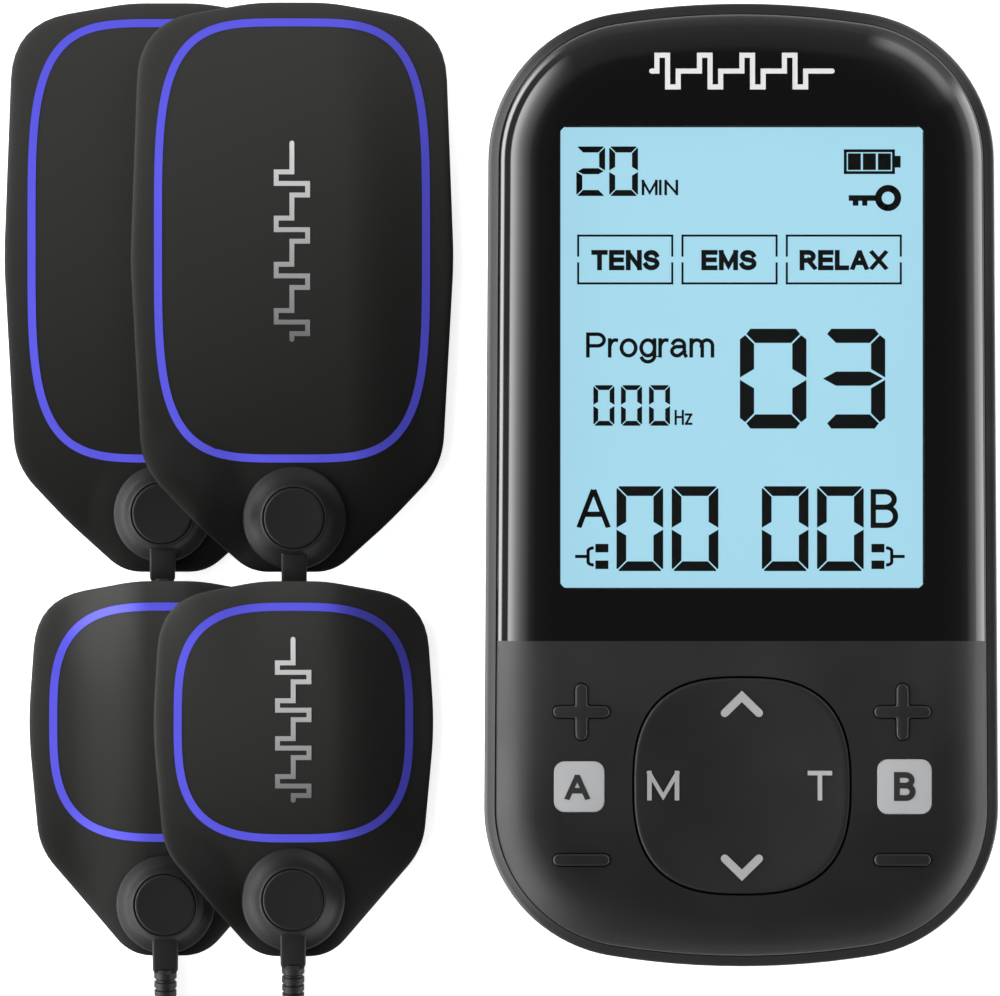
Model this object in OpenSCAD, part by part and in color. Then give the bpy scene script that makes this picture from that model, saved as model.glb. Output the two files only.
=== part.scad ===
// Two-channel TENS unit: a handheld controller, four electrode pads with press studs and two Y leads.
// Everything lies on one flat surface at z = 0. The origin is the centre of the controller's
// rear face, +X to its right, +Y towards its screen end, +Z up through its front.

/* [Controller] */
// Width of the controller at its keypad end
unit_w = 63.4; // [62:0.1:66]
// Length of the controller
unit_l = 118.8; // [117:0.1:122]
// Thickness of the controller
unit_t = 21; // [20.5:0.1:22]
// Radius of the controller's four corners, seen from the front
corner_r = 18.5; // [17.5:0.1:19]
// Radius of the arc across each end
end_r = 100; // [90:1:120]
// How much narrower the screen end is than the keypad end
taper = 1; // [0:0.1:1.5]
// Wall of the rear shell
shell_wall = 2.2; // [1.8:0.1:2.4]
// Width of the rear shell's rim that shows around the front
rim_w = 1.5; // [1:0.1:2]

/* [Screen] */
// Width of the screen window
window_w = 44.9; // [40:0.1:45]
// Height of the screen window
window_h = 57; // [50:0.1:58]
// Height of the window's centre above the controller's middle
window_y = 15.7; // [15:0.1:16]
// Where the glossy screen panel ends and the keypad panel starts
seam_y = -19.2; // [-20:0.1:-18]

/* [Keys] */
// Half width of the four-way key
dpad_half = 13.3; // [12:0.1:14]
// Centre of the four-way key along Y
dpad_y = -37; // [-38:0.1:-36]
// Groove around each key
key_gap = 0.25; // [0.2:0.05:0.3]
// Distance of the channel keys from the middle
key_x = 19.75; // [19:0.05:20]
// Centre of the plus keys along Y
plus_y = -27.9; // [-29:0.1:-27]
// Centre of the minus keys along Y
minus_y = -46.1; // [-47:0.1:-45]
// Span of a plus or minus key
key_span = 7; // [6:0.1:7.5]
// Width of a plus or minus key's bar
key_bar = 1.5; // [1.2:0.1:2]
// Travel of a channel key
key_travel = 0.45; // [0.3:0.05:0.5]

/* [Leads] */
// Diameter of the lead wires
wire_d = 2; // [1.8:0.1:2]
// Bore of the output jacks
jack_bore_r = 1.25; // [1.2:0.05:1.3]
// Depth of the output jacks
jack_depth = 10; // [9:0.5:10]
// Distance of the output jacks from the middle
jack_x = 9; // [8:0.5:10]
// Radius of the lead plugs' pins
pin_r = 1.2; // [1.15:0.01:1.22]
// Length of the lead plugs' pins
pin_l = 9.5; // [8:0.5:9.5]

/* [Pads] */
// Thickness of an electrode pad with its gel
pad_t = 2.2; // [2:0.1:2.4]
// Thickness of the gel layer
gel_t = 0.9; // [0.7:0.1:1]
// Height of a snap connector above its pad
snap_h = 3; // [2.8:0.1:3]
// Radius of a snap connector's flat cap
cap_r = 3.75; // [3.5:0.05:3.9]

/* [Hidden] */
$fn = 48;

// Heights of the controller's layers
pcb_z = 13;
pcb_top = 14.2;
ledge_z = 15.4;
rim_z = 16.8;
ceiling_z = 18.4;
frame_top = 19.4;
// Insets of the layers from the controller's outline
frame_inset = 3.6;
panel_inset = 3.55;
frame_wall = 1.4;
// Screws through the rear shell, the board and the front frame: [x, y]
screws = [[-18, 50.2], [18, 50.2], [-18, -51], [18, -51]];
post_r = 2.8;
boss_r = 2.6;
screw_r = 0.95;
// The four tact switches of the four-way key stand this far from its centre
switch_r = 8;

// One electrode pad: [centre x, stud x, stud y, snap base radius, height of the pad at the stud]
large_back = [-71.4, -71.7, -3.5, 6.1, 0];
large_front = [-55.6, -55.3, -4.1, 6.4, 2.4];
small_back = [-71.0, -71.3, -52.1, 6.1, 2.1];
small_front = [-55.4, -55.4, -51.4, 6.4, 4.5];
snaps = [large_back, large_front, small_back, small_front];
// Half outlines of the pads, from the middle of the top to the tip: [x, y, corner radius]
large_half = [[4.5, 60, 25], [19, 57.5, 13], [20.1, 28, 60], [18.7, 2.4, 10], [12.2, -4.5, 60],
    [5.2, -10.8, 6]];
small_half = [[4, -11.9, 22], [16.4, -14.2, 10], [17.5, -30, 50], [16.1, -45.2, 9],
    [4.6, -58.5, 6]];
large_mid = 27;
small_mid = -33;
neck_l = 8.3;
neck_w = 3.2;
lift = 0.3;

// Ends of the four strain reliefs, where the wires start
relief_end = [[-71.4, -26, 1.05], [-55.4, -27, 3.35], [-71.3, -74.5, 2.6], [-55.4, -74.5, 4.2]];

// Routes of the wires from the strain reliefs to the yokes, laid by hand
route_large_back = [[-71.4, -26, 1.05], [-71.4, -32, 1.05], [-71.4, -38, 1.05],
    [-71.4, -44, 1.05], [-71.4, -50, 1.05], [-71.4, -56, 1.05], [-71.2, -62, 1.05],
    [-70.4, -68, 1.05], [-69, -74, 1.05], [-68, -80, 1.05], [-67.8, -86, 1.05],
    [-68.6, -92, 1.05], [-70.4, -98, 1.05], [-72, -103, 1.05], [-72.9, -108, 1.05],
    [-73, -112, 1.6]];
route_large_front = [[-55.4, -27, 3.35], [-55.4, -33, 3.3], [-55.4, -39, 3.3],
    [-55.4, -45, 3.2], [-55.4, -50, 2.4], [-55.4, -56, 1.3], [-55.6, -62, 1.05],
    [-56.4, -68, 1.05], [-58, -74, 1.05], [-59.2, -80, 1.05], [-59.4, -86, 1.05],
    [-58.6, -92, 1.05], [-56.8, -98, 1.05], [-55.2, -103, 1.05], [-54.2, -108, 1.05],
    [-54, -112, 1.6]];
route_small_back = [[-71.3, -74.5, 2.6], [-72.6, -80, 1.5], [-76.4, -84.6, 1.05],
    [-82, -87, 1.05], [-88, -87.8, 1.05], [-94, -89.4, 1.05], [-98.4, -93.4, 1.05],
    [-99.4, -99, 1.05], [-96.4, -104, 1.05], [-91, -105.6, 1.05], [-86, -103, 1.05],
    [-81.6, -100.4, 1.05], [-77.6, -102.2, 1.05], [-76.2, -107, 1.05], [-76, -112, 1.6]];
route_small_front = [[-55.4, -74.5, 4.2], [-54.2, -80, 2.4], [-50.6, -84.6, 1.2],
    [-45, -87, 1.05], [-39, -87.8, 1.05], [-33, -89.4, 1.05], [-28.6, -93.4, 1.05],
    [-27.6, -99, 1.05], [-30.6, -104, 1.05], [-36, -105.6, 1.05], [-41, -103, 1.05],
    [-45.4, -100.4, 1.05], [-49.4, -102.2, 1.05], [-50.8, -107, 1.05], [-51, -112, 1.6]];
// Routes of the main leads: from the yoke into the coil, and from the coil to the plug
coil_mid_r = 11;
coil_half = 4;
coil_lift = 0.8;
coil_a_at = [-88.5, -140];
coil_b_at = [-38.5, -140];
route_in_a = [[-74.5, -122, 1.6], [-74.5, -128, 1.3], [-74.5, -134, 1.7], [-74.5, -140, 1.8]];
route_in_b = [[-52.5, -122, 1.6], [-52.5, -128, 1.3], [-52.5, -134, 1.7], [-52.5, -140, 1.8]];
route_out_a = [[-88.5, -126, 7.8], [-83, -125.9, 7.4], [-77, -126.1, 5.6], [-72, -127.6, 4],
    [-69, -131.4, 3.4], [-68, -137, 3.4]];
route_out_b = [[-38.5, -126, 7.8], [-44, -125.9, 7.4], [-50, -126.1, 5.6], [-55, -127.6, 4],
    [-58, -131.4, 3.4], [-59, -137, 3.4]];
plug_y = -137;
plug_ax = -68;
plug_bx = -59;
plug_z = 3.4;

// ---- Shared geometry ----

function arc(cx, cy, r, from, to, steps) =
    [for (i = [0:steps]) let (a = from + (to - from) * i / steps) [cx + r * cos(a), cy + r * sin(a)]];

// The controller's outline, drawn inwards by inset: four corner arcs joined by two end arcs.
// part is 0 for the whole outline, 1 for the stretch above the seam and -1 for that below it.
function unit_outline(inset, part = 0) =
    let (
        reach = end_r - corner_r,
        top_x = (unit_w - taper) / 2 - corner_r,
        low_x = unit_w / 2 - corner_r,
        top_a = acos(top_x / reach),
        low_a = acos(low_x / reach),
        top_y = unit_l / 2 - end_r,
        top_cy = top_y + reach * sin(top_a),
        low_cy = -top_y - reach * sin(low_a),
        r = corner_r - inset,
        end = end_r - inset,
        skip = 3,
        seam_x = r + top_x + (low_x - top_x) * (top_cy - seam_y) / (top_cy - low_cy)
    )
    concat(
        part == 1 ? [[seam_x, seam_y]] : [],
        part == -1 ? [] : concat(
            arc(top_x, top_cy, r, 0, top_a, 8),
            arc(0, top_y, end, top_a + skip, 180 - top_a - skip, 4),
            arc(-top_x, top_cy, r, 180 - top_a, 180, 8)
        ),
        part == 0 ? [] : [[-seam_x, seam_y]],
        part == 1 ? [] : concat(
            arc(-low_x, low_cy, r, 180, 180 + low_a, 8),
            arc(0, -top_y, end, 180 + low_a + skip, 360 - low_a - skip, 4),
            arc(low_x, low_cy, r, 360 - low_a, 360, 8)
        ),
        part == -1 ? [[seam_x, seam_y]] : []
    );

// A rounded square: the curve |x/a|^n + |y/b|^n = 1
function squircle(a, b, n, steps) =
    [for (i = [0:steps - 1]) let (t = 360 * i / steps, c = cos(t), s = sin(t))
        [a * sign(c) * pow(abs(c), 2 / n), b * sign(s) * pow(abs(s), 2 / n)]];

// A polygon with each corner [x, y, radius] rounded by an arc tangent to both of its sides
function rounded(corners, steps) =
    [for (i = [0:len(corners) - 1])
        let (
            n = len(corners),
            p = [corners[i][0], corners[i][1]],
            before = corners[(i + n - 1) % n],
            after = corners[(i + 1) % n],
            u = unit([before[0], before[1]] - p),
            v = unit([after[0], after[1]] - p),
            half = acos(min(1, max(-1, u * v))) / 2,
            reach = min(corners[i][2] / tan(half),
                0.48 * norm([before[0], before[1]] - p), 0.48 * norm([after[0], after[1]] - p)),
            a = p + reach * u,
            b = p + reach * v
        )
        for (k = [0:steps])
            let (t = k / steps) (1 - t) * (1 - t) * a + 2 * t * (1 - t) * p + t * t * b];

function unit(v) = v / norm(v);

// A solid through a stack of outlines: each ring is a list of [x, y, z] with the same count. The
// upper half of the stack is split along the other diagonal, so that two layers laid face to face
// share their facets.
module skin(rings) {
    n = len(rings[0]);
    m = len(rings);
    polyhedron(
        points = [for (ring = rings) for (p = ring) p],
        faces = concat(
            [[for (i = [0:n - 1]) i]],
            [[for (i = [0:n - 1]) m * n - 1 - i]],
            [for (k = [0:m - 2]) for (i = [0:n - 1])
                let (a = k * n + i, b = k * n + (i + 1) % n) k < m / 2 ? [b, a, b + n] : [b, a, a + n]],
            [for (k = [0:m - 2]) for (i = [0:n - 1])
                let (a = k * n + i, b = k * n + (i + 1) % n)
                    k < m / 2 ? [b + n, a, a + n] : [b + n, b, a + n]]
        ),
        convexity = 6
    );
}

// A stack of blocks of the controller's outline: each level is [z it starts at, inset], and the
// last one is only the top of the stack
module unit_steps(levels, part = 0) {
    for (i = [0:len(levels) - 2]) translate([0, 0, levels[i][0]])
        linear_extrude(levels[i + 1][0] - levels[i][0]) polygon(unit_outline(levels[i][1], part));
}

// A straight-sided block of the controller's outline
module unit_block(from, to, inset) {
    translate([0, 0, from]) linear_extrude(to - from) polygon(unit_outline(inset));
}

// A tube swept along a route, with one ring at each point
module tube(route, r, sides = 8) {
    n = len(route);
    rings = [for (k = [0:n - 1])
        let (
            d = unit(route[min(k + 1, n - 1)] - route[max(k - 1, 0)]),
            side = unit(cross(d, [0, 0, 1])),
            up = cross(side, d)
        )
        [for (i = [0:sides - 1]) let (t = 360 * i / sides)
            route[k] + r * (cos(t) * up + sin(t) * side)]];
    skin(rings);
}

// A straight round piece between two points, tapered from one radius to the other
module rod(from, to, r1, r2) {
    d = to - from;
    tilt = acos(d[2] / norm(d));
    turn = atan2(d[1], d[0]);
    translate(from) rotate([0, tilt, turn]) cylinder(h = norm(d), r1 = r1, r2 = r2);
}

// ---- Rear shell and front ----

shell_levels = [[0, 2.6], [0.5, 1.6], [1.2, 0.8], [2.2, 0.3], [3.4, 0], [rim_z - 0.4, 0.3],
    [rim_z]];
front_levels = [[ledge_z + 0.05, rim_w + 0.1], [18.3, rim_w + 0.4], [19.2, rim_w + 1],
    [19.9, rim_w + 1.9], [20.4, rim_w + 3.2], [20.8, rim_w + 5], [unit_t]];

module rear_shell() {
    color("dimgray") difference() {
        union() {
            difference() {
                unit_steps(shell_levels);
                unit_block(1.8, ledge_z, shell_wall);
                unit_block(ledge_z - 0.1, rim_z + 1, rim_w);
            }
            for (s = screws) translate([s[0], s[1], 1.5]) cylinder(h = pcb_z - 1.5, r = post_r);
            for (x = [-18.2, 17.2]) translate([x, -34, 1.7]) cube([1, 52, 2.6]);
        }
        for (s = screws) translate([s[0], s[1], -1]) {
            cylinder(h = 20, r = 1.2);
            cylinder(h = 3.2, r = 2.2);
        }
        for (x = [-jack_x, jack_x]) translate([x, 50, 8.5]) rotate([-90, 0, 0])
            cylinder(h = 12, r = 2.7);
        translate([0, -54, 8.5]) charge_slot(9.6, 3.8, 8);
    }
}

// A slot with round ends, running towards -Y
module charge_slot(w, h, depth) {
    rotate([90, 0, 0]) linear_extrude(depth) {
        square([w - h, h], center = true);
        for (x = [-1, 1]) translate([x * (w - h) / 2, 0]) circle(d = h);
    }
}

module front_frame() {
    color("black") difference() {
        union() {
            difference() {
                unit_block(ledge_z + 0.05, frame_top, frame_inset);
                unit_block(ledge_z - 1, ceiling_z, frame_inset + frame_wall);
            }
            for (s = screws) translate([s[0], s[1], pcb_top])
                cylinder(h = ceiling_z - pcb_top + 0.2, r = boss_r);
        }
        translate([0, window_y, ceiling_z]) cube([window_w - 0.3, window_h - 0.3, 6], center = true);
        key_holes(ceiling_z - 1, frame_top + 1, key_gap + 0.15);
        for (s = screws) translate([s[0], s[1], pcb_top - 1]) cylinder(h = 4.2, r = 1);
    }
}

// Openings for the four-way key and the four channel keys
module key_holes(from, to, gap) {
    translate([0, 0, from]) linear_extrude(to - from) {
        translate([0, dpad_y]) polygon(squircle(dpad_half + gap, dpad_half + gap, 2.7, 64));
        for (x = [-key_x, key_x]) {
            translate([x, plus_y]) plus_shape(gap);
            translate([x, minus_y]) bar_shape(gap);
        }
    }
}

module bar_shape(grow) {
    r = key_bar / 2 + grow;
    reach = (key_span - key_bar) / 2;
    square([2 * reach, 2 * r], center = true);
    for (x = [-reach, reach]) translate([x, 0]) circle(r = r);
}

module plus_shape(grow) {
    bar_shape(grow);
    rotate(90) bar_shape(grow);
}

// The front's skin on one side of the seam, hollow below
module front_skin(side) {
    difference() {
        unit_steps(front_levels, side);
        unit_block(ledge_z - 1, frame_top + 0.05, panel_inset);
    }
}

module screen_panel() {
    color("black") difference() {
        front_skin(1);
        translate([0, window_y, unit_t]) cube([window_w, window_h, 8], center = true);
    }
}

module keypad_panel() {
    color("darkslategray") difference() {
        front_skin(-1);
        key_holes(frame_top - 1, unit_t + 1, key_gap);
        for (side = [-1, 1]) translate([side * (key_x + 0.25), dpad_y - 0.1, unit_t - 0.55])
            linear_extrude(2) badge_shape(side, 0);
    }
}

// The channel badges: the right one is slightly larger
module badge_shape(side, shrink) {
    w = side < 0 ? 6.4 : 6.9;
    r = 1.4;
    for (turn = [0, 90]) rotate(turn) square([w - 2 * shrink, w - 2 * r], center = true);
    for (x = [-1, 1]) for (y = [-1, 1]) translate([x * (w / 2 - r), y * (w / 2 - r)])
        circle(r = r - shrink);
}

module channel_badges() {
    color("lightgray") for (side = [-1, 1])
        translate([side * (key_x + 0.25), dpad_y - 0.1, unit_t - 0.55])
            linear_extrude(0.5) badge_shape(side, 0.05);
}

module display_window() {
    color("lightblue") translate([0, window_y, frame_top + 0.05])
        linear_extrude(unit_t - frame_top - 0.15)
            square([window_w - 0.1, window_h - 0.1], center = true);
}

// ---- Display ----

lcd_w = 47;
lcd_h = 59.4;

module lcd_glass() {
    color("lightcyan") translate([-lcd_w / 2, window_y - lcd_h / 2, 16.7])
        cube([lcd_w, lcd_h, 1.6]);
}

module lcd_backlight() {
    color("white") translate([-lcd_w / 2, window_y - lcd_h / 2, pcb_top + 0.4])
        cube([lcd_w, lcd_h, 2]);
}

module lcd_frame() {
    color("gray") difference() {
        translate([-lcd_w / 2 - 1, window_y - lcd_h / 2 - 1, pcb_top])
            cube([lcd_w + 2, lcd_h + 2, 4]);
        translate([-lcd_w / 2 - 0.05, window_y - lcd_h / 2 - 0.05, pcb_top + 0.35])
            cube([lcd_w + 0.1, lcd_h + 0.1, 5]);
        translate([-15, window_y - lcd_h / 2 - 2, pcb_top - 1]) cube([30, 3, 3.65]);
    }
}

// A folded flexible strip from the glass's lower edge down to the board
module lcd_ribbon() {
    edge = window_y - lcd_h / 2;
    color("orange") translate([-14, edge - 1.9, pcb_top]) {
        cube([28, 1.75, 0.15]);
        cube([28, 0.15, 2.4]);
        translate([0, 0, 2.25]) cube([28, 1.75, 0.15]);
    }
}

// ---- Board and what stands on it ----

module main_pcb() {
    color("darkgreen") difference() {
        unit_block(pcb_z, pcb_top, 4);
        for (s = screws) translate([s[0], s[1], pcb_z - 1]) cylinder(h = 4, r = 1.2);
    }
}

module under_board(x, y, h) {
    translate([x, y, pcb_z - h]) children();
}

module control_chip() {
    color("black") under_board(-4, 22, 1.1) cube([8, 8, 1.1]);
}

module output_transformers() {
    color("darkgoldenrod") for (x = [-12, 12]) under_board(x - 5, 32, 5.2) {
        cube([10, 3, 5.2]);
        translate([0, 3, 1]) cube([10, 4, 4.2]);
        translate([0, 7, 0]) cube([10, 3, 5.2]);
    }
}

module storage_capacitors() {
    color("midnightblue") for (x = [-23, 23]) under_board(x, 34, 5) cylinder(h = 5, r = 2.5);
}

module buzzer() {
    color("black") under_board(14, -41, 3.4) difference() {
        cylinder(h = 3.4, r = 4.5);
        translate([0, 0, -1]) cylinder(h = 1.8, r = 0.9);
    }
}

module tact_switch(x, y) {
    translate([x - 2.2, y - 2.2, pcb_top]) cube([4.4, 4.4, 0.8]);
    translate([x, y, pcb_top]) cylinder(h = 1.15, r = 1);
}

module tact_switches() {
    color("silver") {
        for (t = [0:90:270]) tact_switch(switch_r * cos(t), dpad_y + switch_r * sin(t));
        for (x = [-key_x, key_x]) for (y = [plus_y, minus_y]) tact_switch(x, y);
    }
}

module keypad_mat() {
    color("darkgray") translate([0, 0, 15.4]) linear_extrude(0.5) difference() {
        intersection() {
            polygon(unit_outline(frame_inset + frame_wall + 0.3));
            translate([-40, -70]) square([80, 70 + seam_y]);
        }
        for (s = screws) translate([s[0], s[1]]) circle(r = boss_r + 0.3);
    }
}

module output_jacks() {
    mouth = unit_l / 2 - 0.9;
    color("black") for (x = [-jack_x, jack_x]) difference() {
        union() {
            translate([x - 3.2, mouth - 14, 4.6]) cube([6.4, 9, pcb_z - 4.6]);
            translate([x, mouth - 6, 8.5]) rotate([-90, 0, 0]) cylinder(h = 6, r = 2.6);
        }
        translate([x, mouth - jack_depth, 8.5]) rotate([-90, 0, 0])
            cylinder(h = 20, r = jack_bore_r);
    }
}

module charge_socket() {
    color("silver") translate([0, -51.6, 8.5]) difference() {
        charge_slot(9, 3.2, 7.2);
        translate([0, -1, 0]) charge_slot(8.4, 2.6, 7);
    }
    color("silver") translate([-3.5, -57.6, 8.2]) cube([7, 5.2, 0.6]);
    color("silver") for (x = [-4, 3.2]) translate([x, -55, 10]) cube([0.8, 2.4, 3]);
}

module battery_cell() {
    color("lightsteelblue") translate([-17, -33, 2.3]) cube([34, 50, 5]);
    color("gold") translate([-8, -36, 3.6]) cube([16, 3, 2.4]);
}

module battery_foam() {
    color("dimgray") translate([-15, -31, 1.8]) cube([30, 46, 0.5]);
}

module battery_wires() {
    color("crimson") for (x = [-1.5, 1.5])
        tube([[x, -36, 4.8], [x, -37.2, 4.8], [x * 1.6, -38.7, 5.1], [x * 2.4, -40.6, 6.7],
            [x * 2.6, -41.4, 9], [x * 2.6, -41.5, 11.2]], 0.55);
    color("ivory") translate([-6, -44.4, 11.4]) cube([12, 5.8, 1.6]);
}

module housing_screws() {
    color("silver") for (s = screws) translate([s[0], s[1], 0]) {
        translate([0, 0, 2.2]) cylinder(h = 14.6, r = screw_r);
        difference() {
            translate([0, 0, 0.7]) cylinder(h = 1.5, r = 1.95);
            for (turn = [0, 90]) translate([0, 0, 0.7]) rotate(turn)
                cube([2.2, 0.5, 1.4], center = true);
        }
    }
}

// ---- Keys ----

key_low = 17.05;
pivot_z = 16.65;
pivot_r = 0.32;

// A channel key: its shape stands proud of the panel and its flange stops it from below
module channel_key(x, y, plus) {
    color("darkslategray") translate([x, y, key_low]) {
        linear_extrude(unit_t + 0.3 - key_low) key_shape(plus, 0);
        linear_extrude(0.6) key_shape(plus, 0.6);
    }
}

module key_shape(plus, grow) {
    if (plus) plus_shape(grow);
    if (!plus) bar_shape(grow);
}

module key_a_plus() {
    channel_key(-key_x, plus_y, true);
}

module key_a_minus() {
    channel_key(-key_x, minus_y, false);
}

module key_b_plus() {
    channel_key(key_x, plus_y, true);
}

module key_b_minus() {
    channel_key(key_x, minus_y, false);
}

// The pivot under the four-way key: it rocks left and right on its short round arms, and the key
// rocks up and down on its long ones
module dpad_pivot_bar() {
    color("gray") translate([0, dpad_y, pivot_z]) {
        rotate([0, 90, 0]) cylinder(h = 22, r = pivot_r, center = true);
        rotate([90, 0, 0]) cylinder(h = 8, r = pivot_r - 0.02, center = true);
    }
}

module dpad_cap() {
    color("darkslategray") translate([0, dpad_y, 17.1]) {
        linear_extrude(0.4) polygon(squircle(dpad_half + 1, dpad_half + 1, 2.7, 64));
        difference() {
            linear_extrude(unit_t - 17.1) polygon(squircle(dpad_half, dpad_half, 2.7, 64));
            translate([0, 0, unit_t - 17.1 + 118.6]) sphere(r = 119.4, $fn = 120);
        }
    }
}

// ---- Pads ----

// 1 inside the first distance, 0 beyond the second, smooth between
function fade(d, inner, outer) =
    let (t = max(0, min(1, (outer - d) / (outer - inner)))) t * t * (3 - 2 * t);

// How high the underside of each pad is carried by what it lies on
function height_large_back(x, y) = 0;
function height_large_front(x, y) =
    2.4 * fade(x, -48.5, -36.5)
    + 3.3 * fade(norm([x - large_back[1], y - large_back[2]]), 4.2, 11);
function height_small_back(x, y) =
    2.1 * fade(abs(x + 71.5), 2, 12)
    + 3 * fade(-y, 14, 29) * fade(abs(x + 71.7), 2, 13);
function height_small_front(x, y) =
    4.5 * fade(x, -50.5, -38.5)
    + 2.9 * fade(-y, 14, 29) * fade(abs(x + 55.4), 3, 17)
    + 3 * fade(-y, 14, 29) * fade(abs(x + 71.7), 2, 13)
    + 2.2 * fade(norm([x - small_back[1], y - small_back[2]]), 5, 10);
function height(pad, x, y) =
    pad == 0 ? height_large_back(x, y)
    : pad == 1 ? height_large_front(x, y)
    : pad == 2 ? height_small_back(x, y)
    : height_small_front(x, y);

// The full outline of a pad from its right half
function both_sides(half) =
    concat([for (i = [len(half) - 1:-1:0]) half[i]], [for (p = half) [-p[0], p[1], p[2]]]);
function pad_outline(pad) = rounded(both_sides(pad < 2 ? large_half : small_half), 4);

// One layer of a pad: rings from its rim to its middle, each lifted by the pad's height.
// under and over give the layer's two faces above that height at each ring.
module pad_layer(pad, scales, under, over) {
    outline = pad_outline(pad);
    mid = [0, pad < 2 ? large_mid : small_mid];
    n = len(scales);
    function ring(scale, z) = [for (p = outline)
        let (q = mid + scale * (p - mid), x = q[0] + snaps[pad][0], y = q[1])
            [x, y, height(pad, x, y) + z]];
    skin(concat(
        [for (k = [n - 1:-1:0]) ring(scales[k], under[k])],
        [for (k = [0:n - 1]) ring(scales[k], over[k])]
    ));
}

module pad_cover(pad) {
    color("dimgray") pad_layer(pad, [1, 0.97, 0.85, 0.7, 0.5, 0.25, 0.02],
        [gel_t + 0.2, gel_t, gel_t, gel_t, gel_t, gel_t, gel_t],
        [gel_t + 0.5, pad_t - 0.3, pad_t, pad_t, pad_t, pad_t, pad_t]);
}

module pad_gel(pad) {
    top = gel_t - 0.02;
    color("whitesmoke") pad_layer(pad, [0.97, 0.85, 0.7, 0.5, 0.25, 0.02],
        [0, 0, 0, 0, 0, 0], [top, top, top, top, top, top]);
}

module pad_large_back() {
    pad_cover(0);
}

module pad_large_front() {
    pad_cover(1);
}

module pad_small_back() {
    pad_cover(2);
}

module pad_small_front() {
    pad_cover(3);
}

module gel_large_back() {
    pad_gel(0);
}

module gel_large_front() {
    pad_gel(1);
}

module gel_small_back() {
    pad_gel(2);
}

module gel_small_front() {
    pad_gel(3);
}

// ---- Snap connectors ----

// Moves its children to a pad's snap, at the height of the pad's top face
module at_snap(pad) {
    s = snaps[pad];
    translate([s[1], s[2], s[4] + pad_t + 0.05]) children();
}

module snap_studs() {
    color("silver") for (pad = [0:3]) at_snap(pad) {
        cylinder(h = lift - 0.1, r = 4);
        cylinder(h = 1.9, r = 1.75);
    }
}

module snap_rings() {
    color("gold") for (pad = [0:3]) at_snap(pad) translate([0, 0, 0.85])
        rotate_extrude() translate([1.8, 0]) square([0.55, 0.4]);
}

module snap_caps() {
    color("black") for (pad = [0:3]) at_snap(pad) translate([0, 0, snap_h - 0.6])
        cylinder(h = 0.6, r = cap_r);
}

module snap_connector(pad) {
    base_r = snaps[pad][3];
    color("black") at_snap(pad) difference() {
        union() {
            rotate_extrude() polygon([[0, lift - 0.1], [base_r, lift - 0.1], [base_r, 0.7],
                [base_r - 0.5, 1.2], [base_r - 1.3, 1.75], [cap_r + 0.7, 2.35],
                [cap_r + 0.35, snap_h - 0.15], [0, snap_h - 0.15]]);
            translate([-neck_w / 2, -neck_l, lift - 0.1]) cube([neck_w, neck_l, 2]);
        }
        translate([0, 0, snap_h - 0.6]) cylinder(h = 2, r = cap_r + 0.05);
        translate([0, 0, -1]) cylinder(h = 2.95, r = 1.85);
        translate([0, 0, 0.8]) cylinder(h = 0.5, r = 2.4);
    }
}

module snap_large_back() {
    snap_connector(0);
}

module snap_large_front() {
    snap_connector(1);
}

module snap_small_back() {
    snap_connector(2);
}

module snap_small_front() {
    snap_connector(3);
}

module strain_reliefs() {
    color("black") for (pad = [0:3]) {
        s = snaps[pad];
        from = [s[1], s[2] - neck_l - 0.05, s[4] + pad_t + lift + 0.95];
        rod(from, relief_end[pad], neck_w / 2 - 0.18, wire_d / 2 + 0.05);
    }
}

// ---- Leads ----

module wire_large_back() {
    color("black") tube(route_large_back, wire_d / 2);
}

module wire_large_front() {
    color("black") tube(route_large_front, wire_d / 2);
}

module wire_small_back() {
    color("black") tube(route_small_back, wire_d / 2);
}

module wire_small_front() {
    color("black") tube(route_small_front, wire_d / 2);
}

// The moulding where a main lead splits in two
module yoke(x) {
    color("black") translate([x, -117, 0]) hull() {
        translate([-3, 4.8, 0.3]) cube([6, 0.2, 2.8]);
        translate([-3, 1, 0]) cube([6, 0.2, 3.4]);
        translate([-1.4, -5, 0.3]) cube([2.8, 0.2, 2.6]);
    }
}

module yoke_a() {
    yoke(-74.5);
}

module yoke_b() {
    yoke(-52.5);
}

module main_lead_a() {
    color("black") {
        tube(route_in_a, wire_d / 2);
        tube(route_out_a, wire_d / 2);
    }
}

module main_lead_b() {
    color("black") {
        tube(route_in_b, wire_d / 2);
        tube(route_out_b, wire_d / 2);
    }
}

module coil(at) {
    color("black") translate([at[0], at[1], coil_lift]) rotate_extrude()
        translate([coil_mid_r - coil_half, 0]) square([2 * coil_half, 2 * coil_half]);
}

module coil_a() {
    coil(coil_a_at);
}

module coil_b() {
    coil(coil_b_at);
}

// A strap round each coil's bundle, on the side away from the plugs
module coil_ties() {
    wall = 0.7;
    color("dimgray") for (side = [-1, 1]) {
        at = side < 0 ? coil_a_at : coil_b_at;
        inner = coil_mid_r - coil_half - 0.6;
        outer = coil_mid_r + coil_half + 0.1;
        translate([at[0], at[1], 0]) rotate(side < 0 ? 200 : -20) difference() {
            translate([inner - wall, -2, 0])
                cube([outer - inner + 2 * wall, 4, 2 * coil_half + coil_lift + 0.1 + wall]);
            translate([inner, -3, coil_lift - 0.05])
                cube([outer - inner, 6, 2 * coil_half + 0.15]);
        }
    }
}

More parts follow.
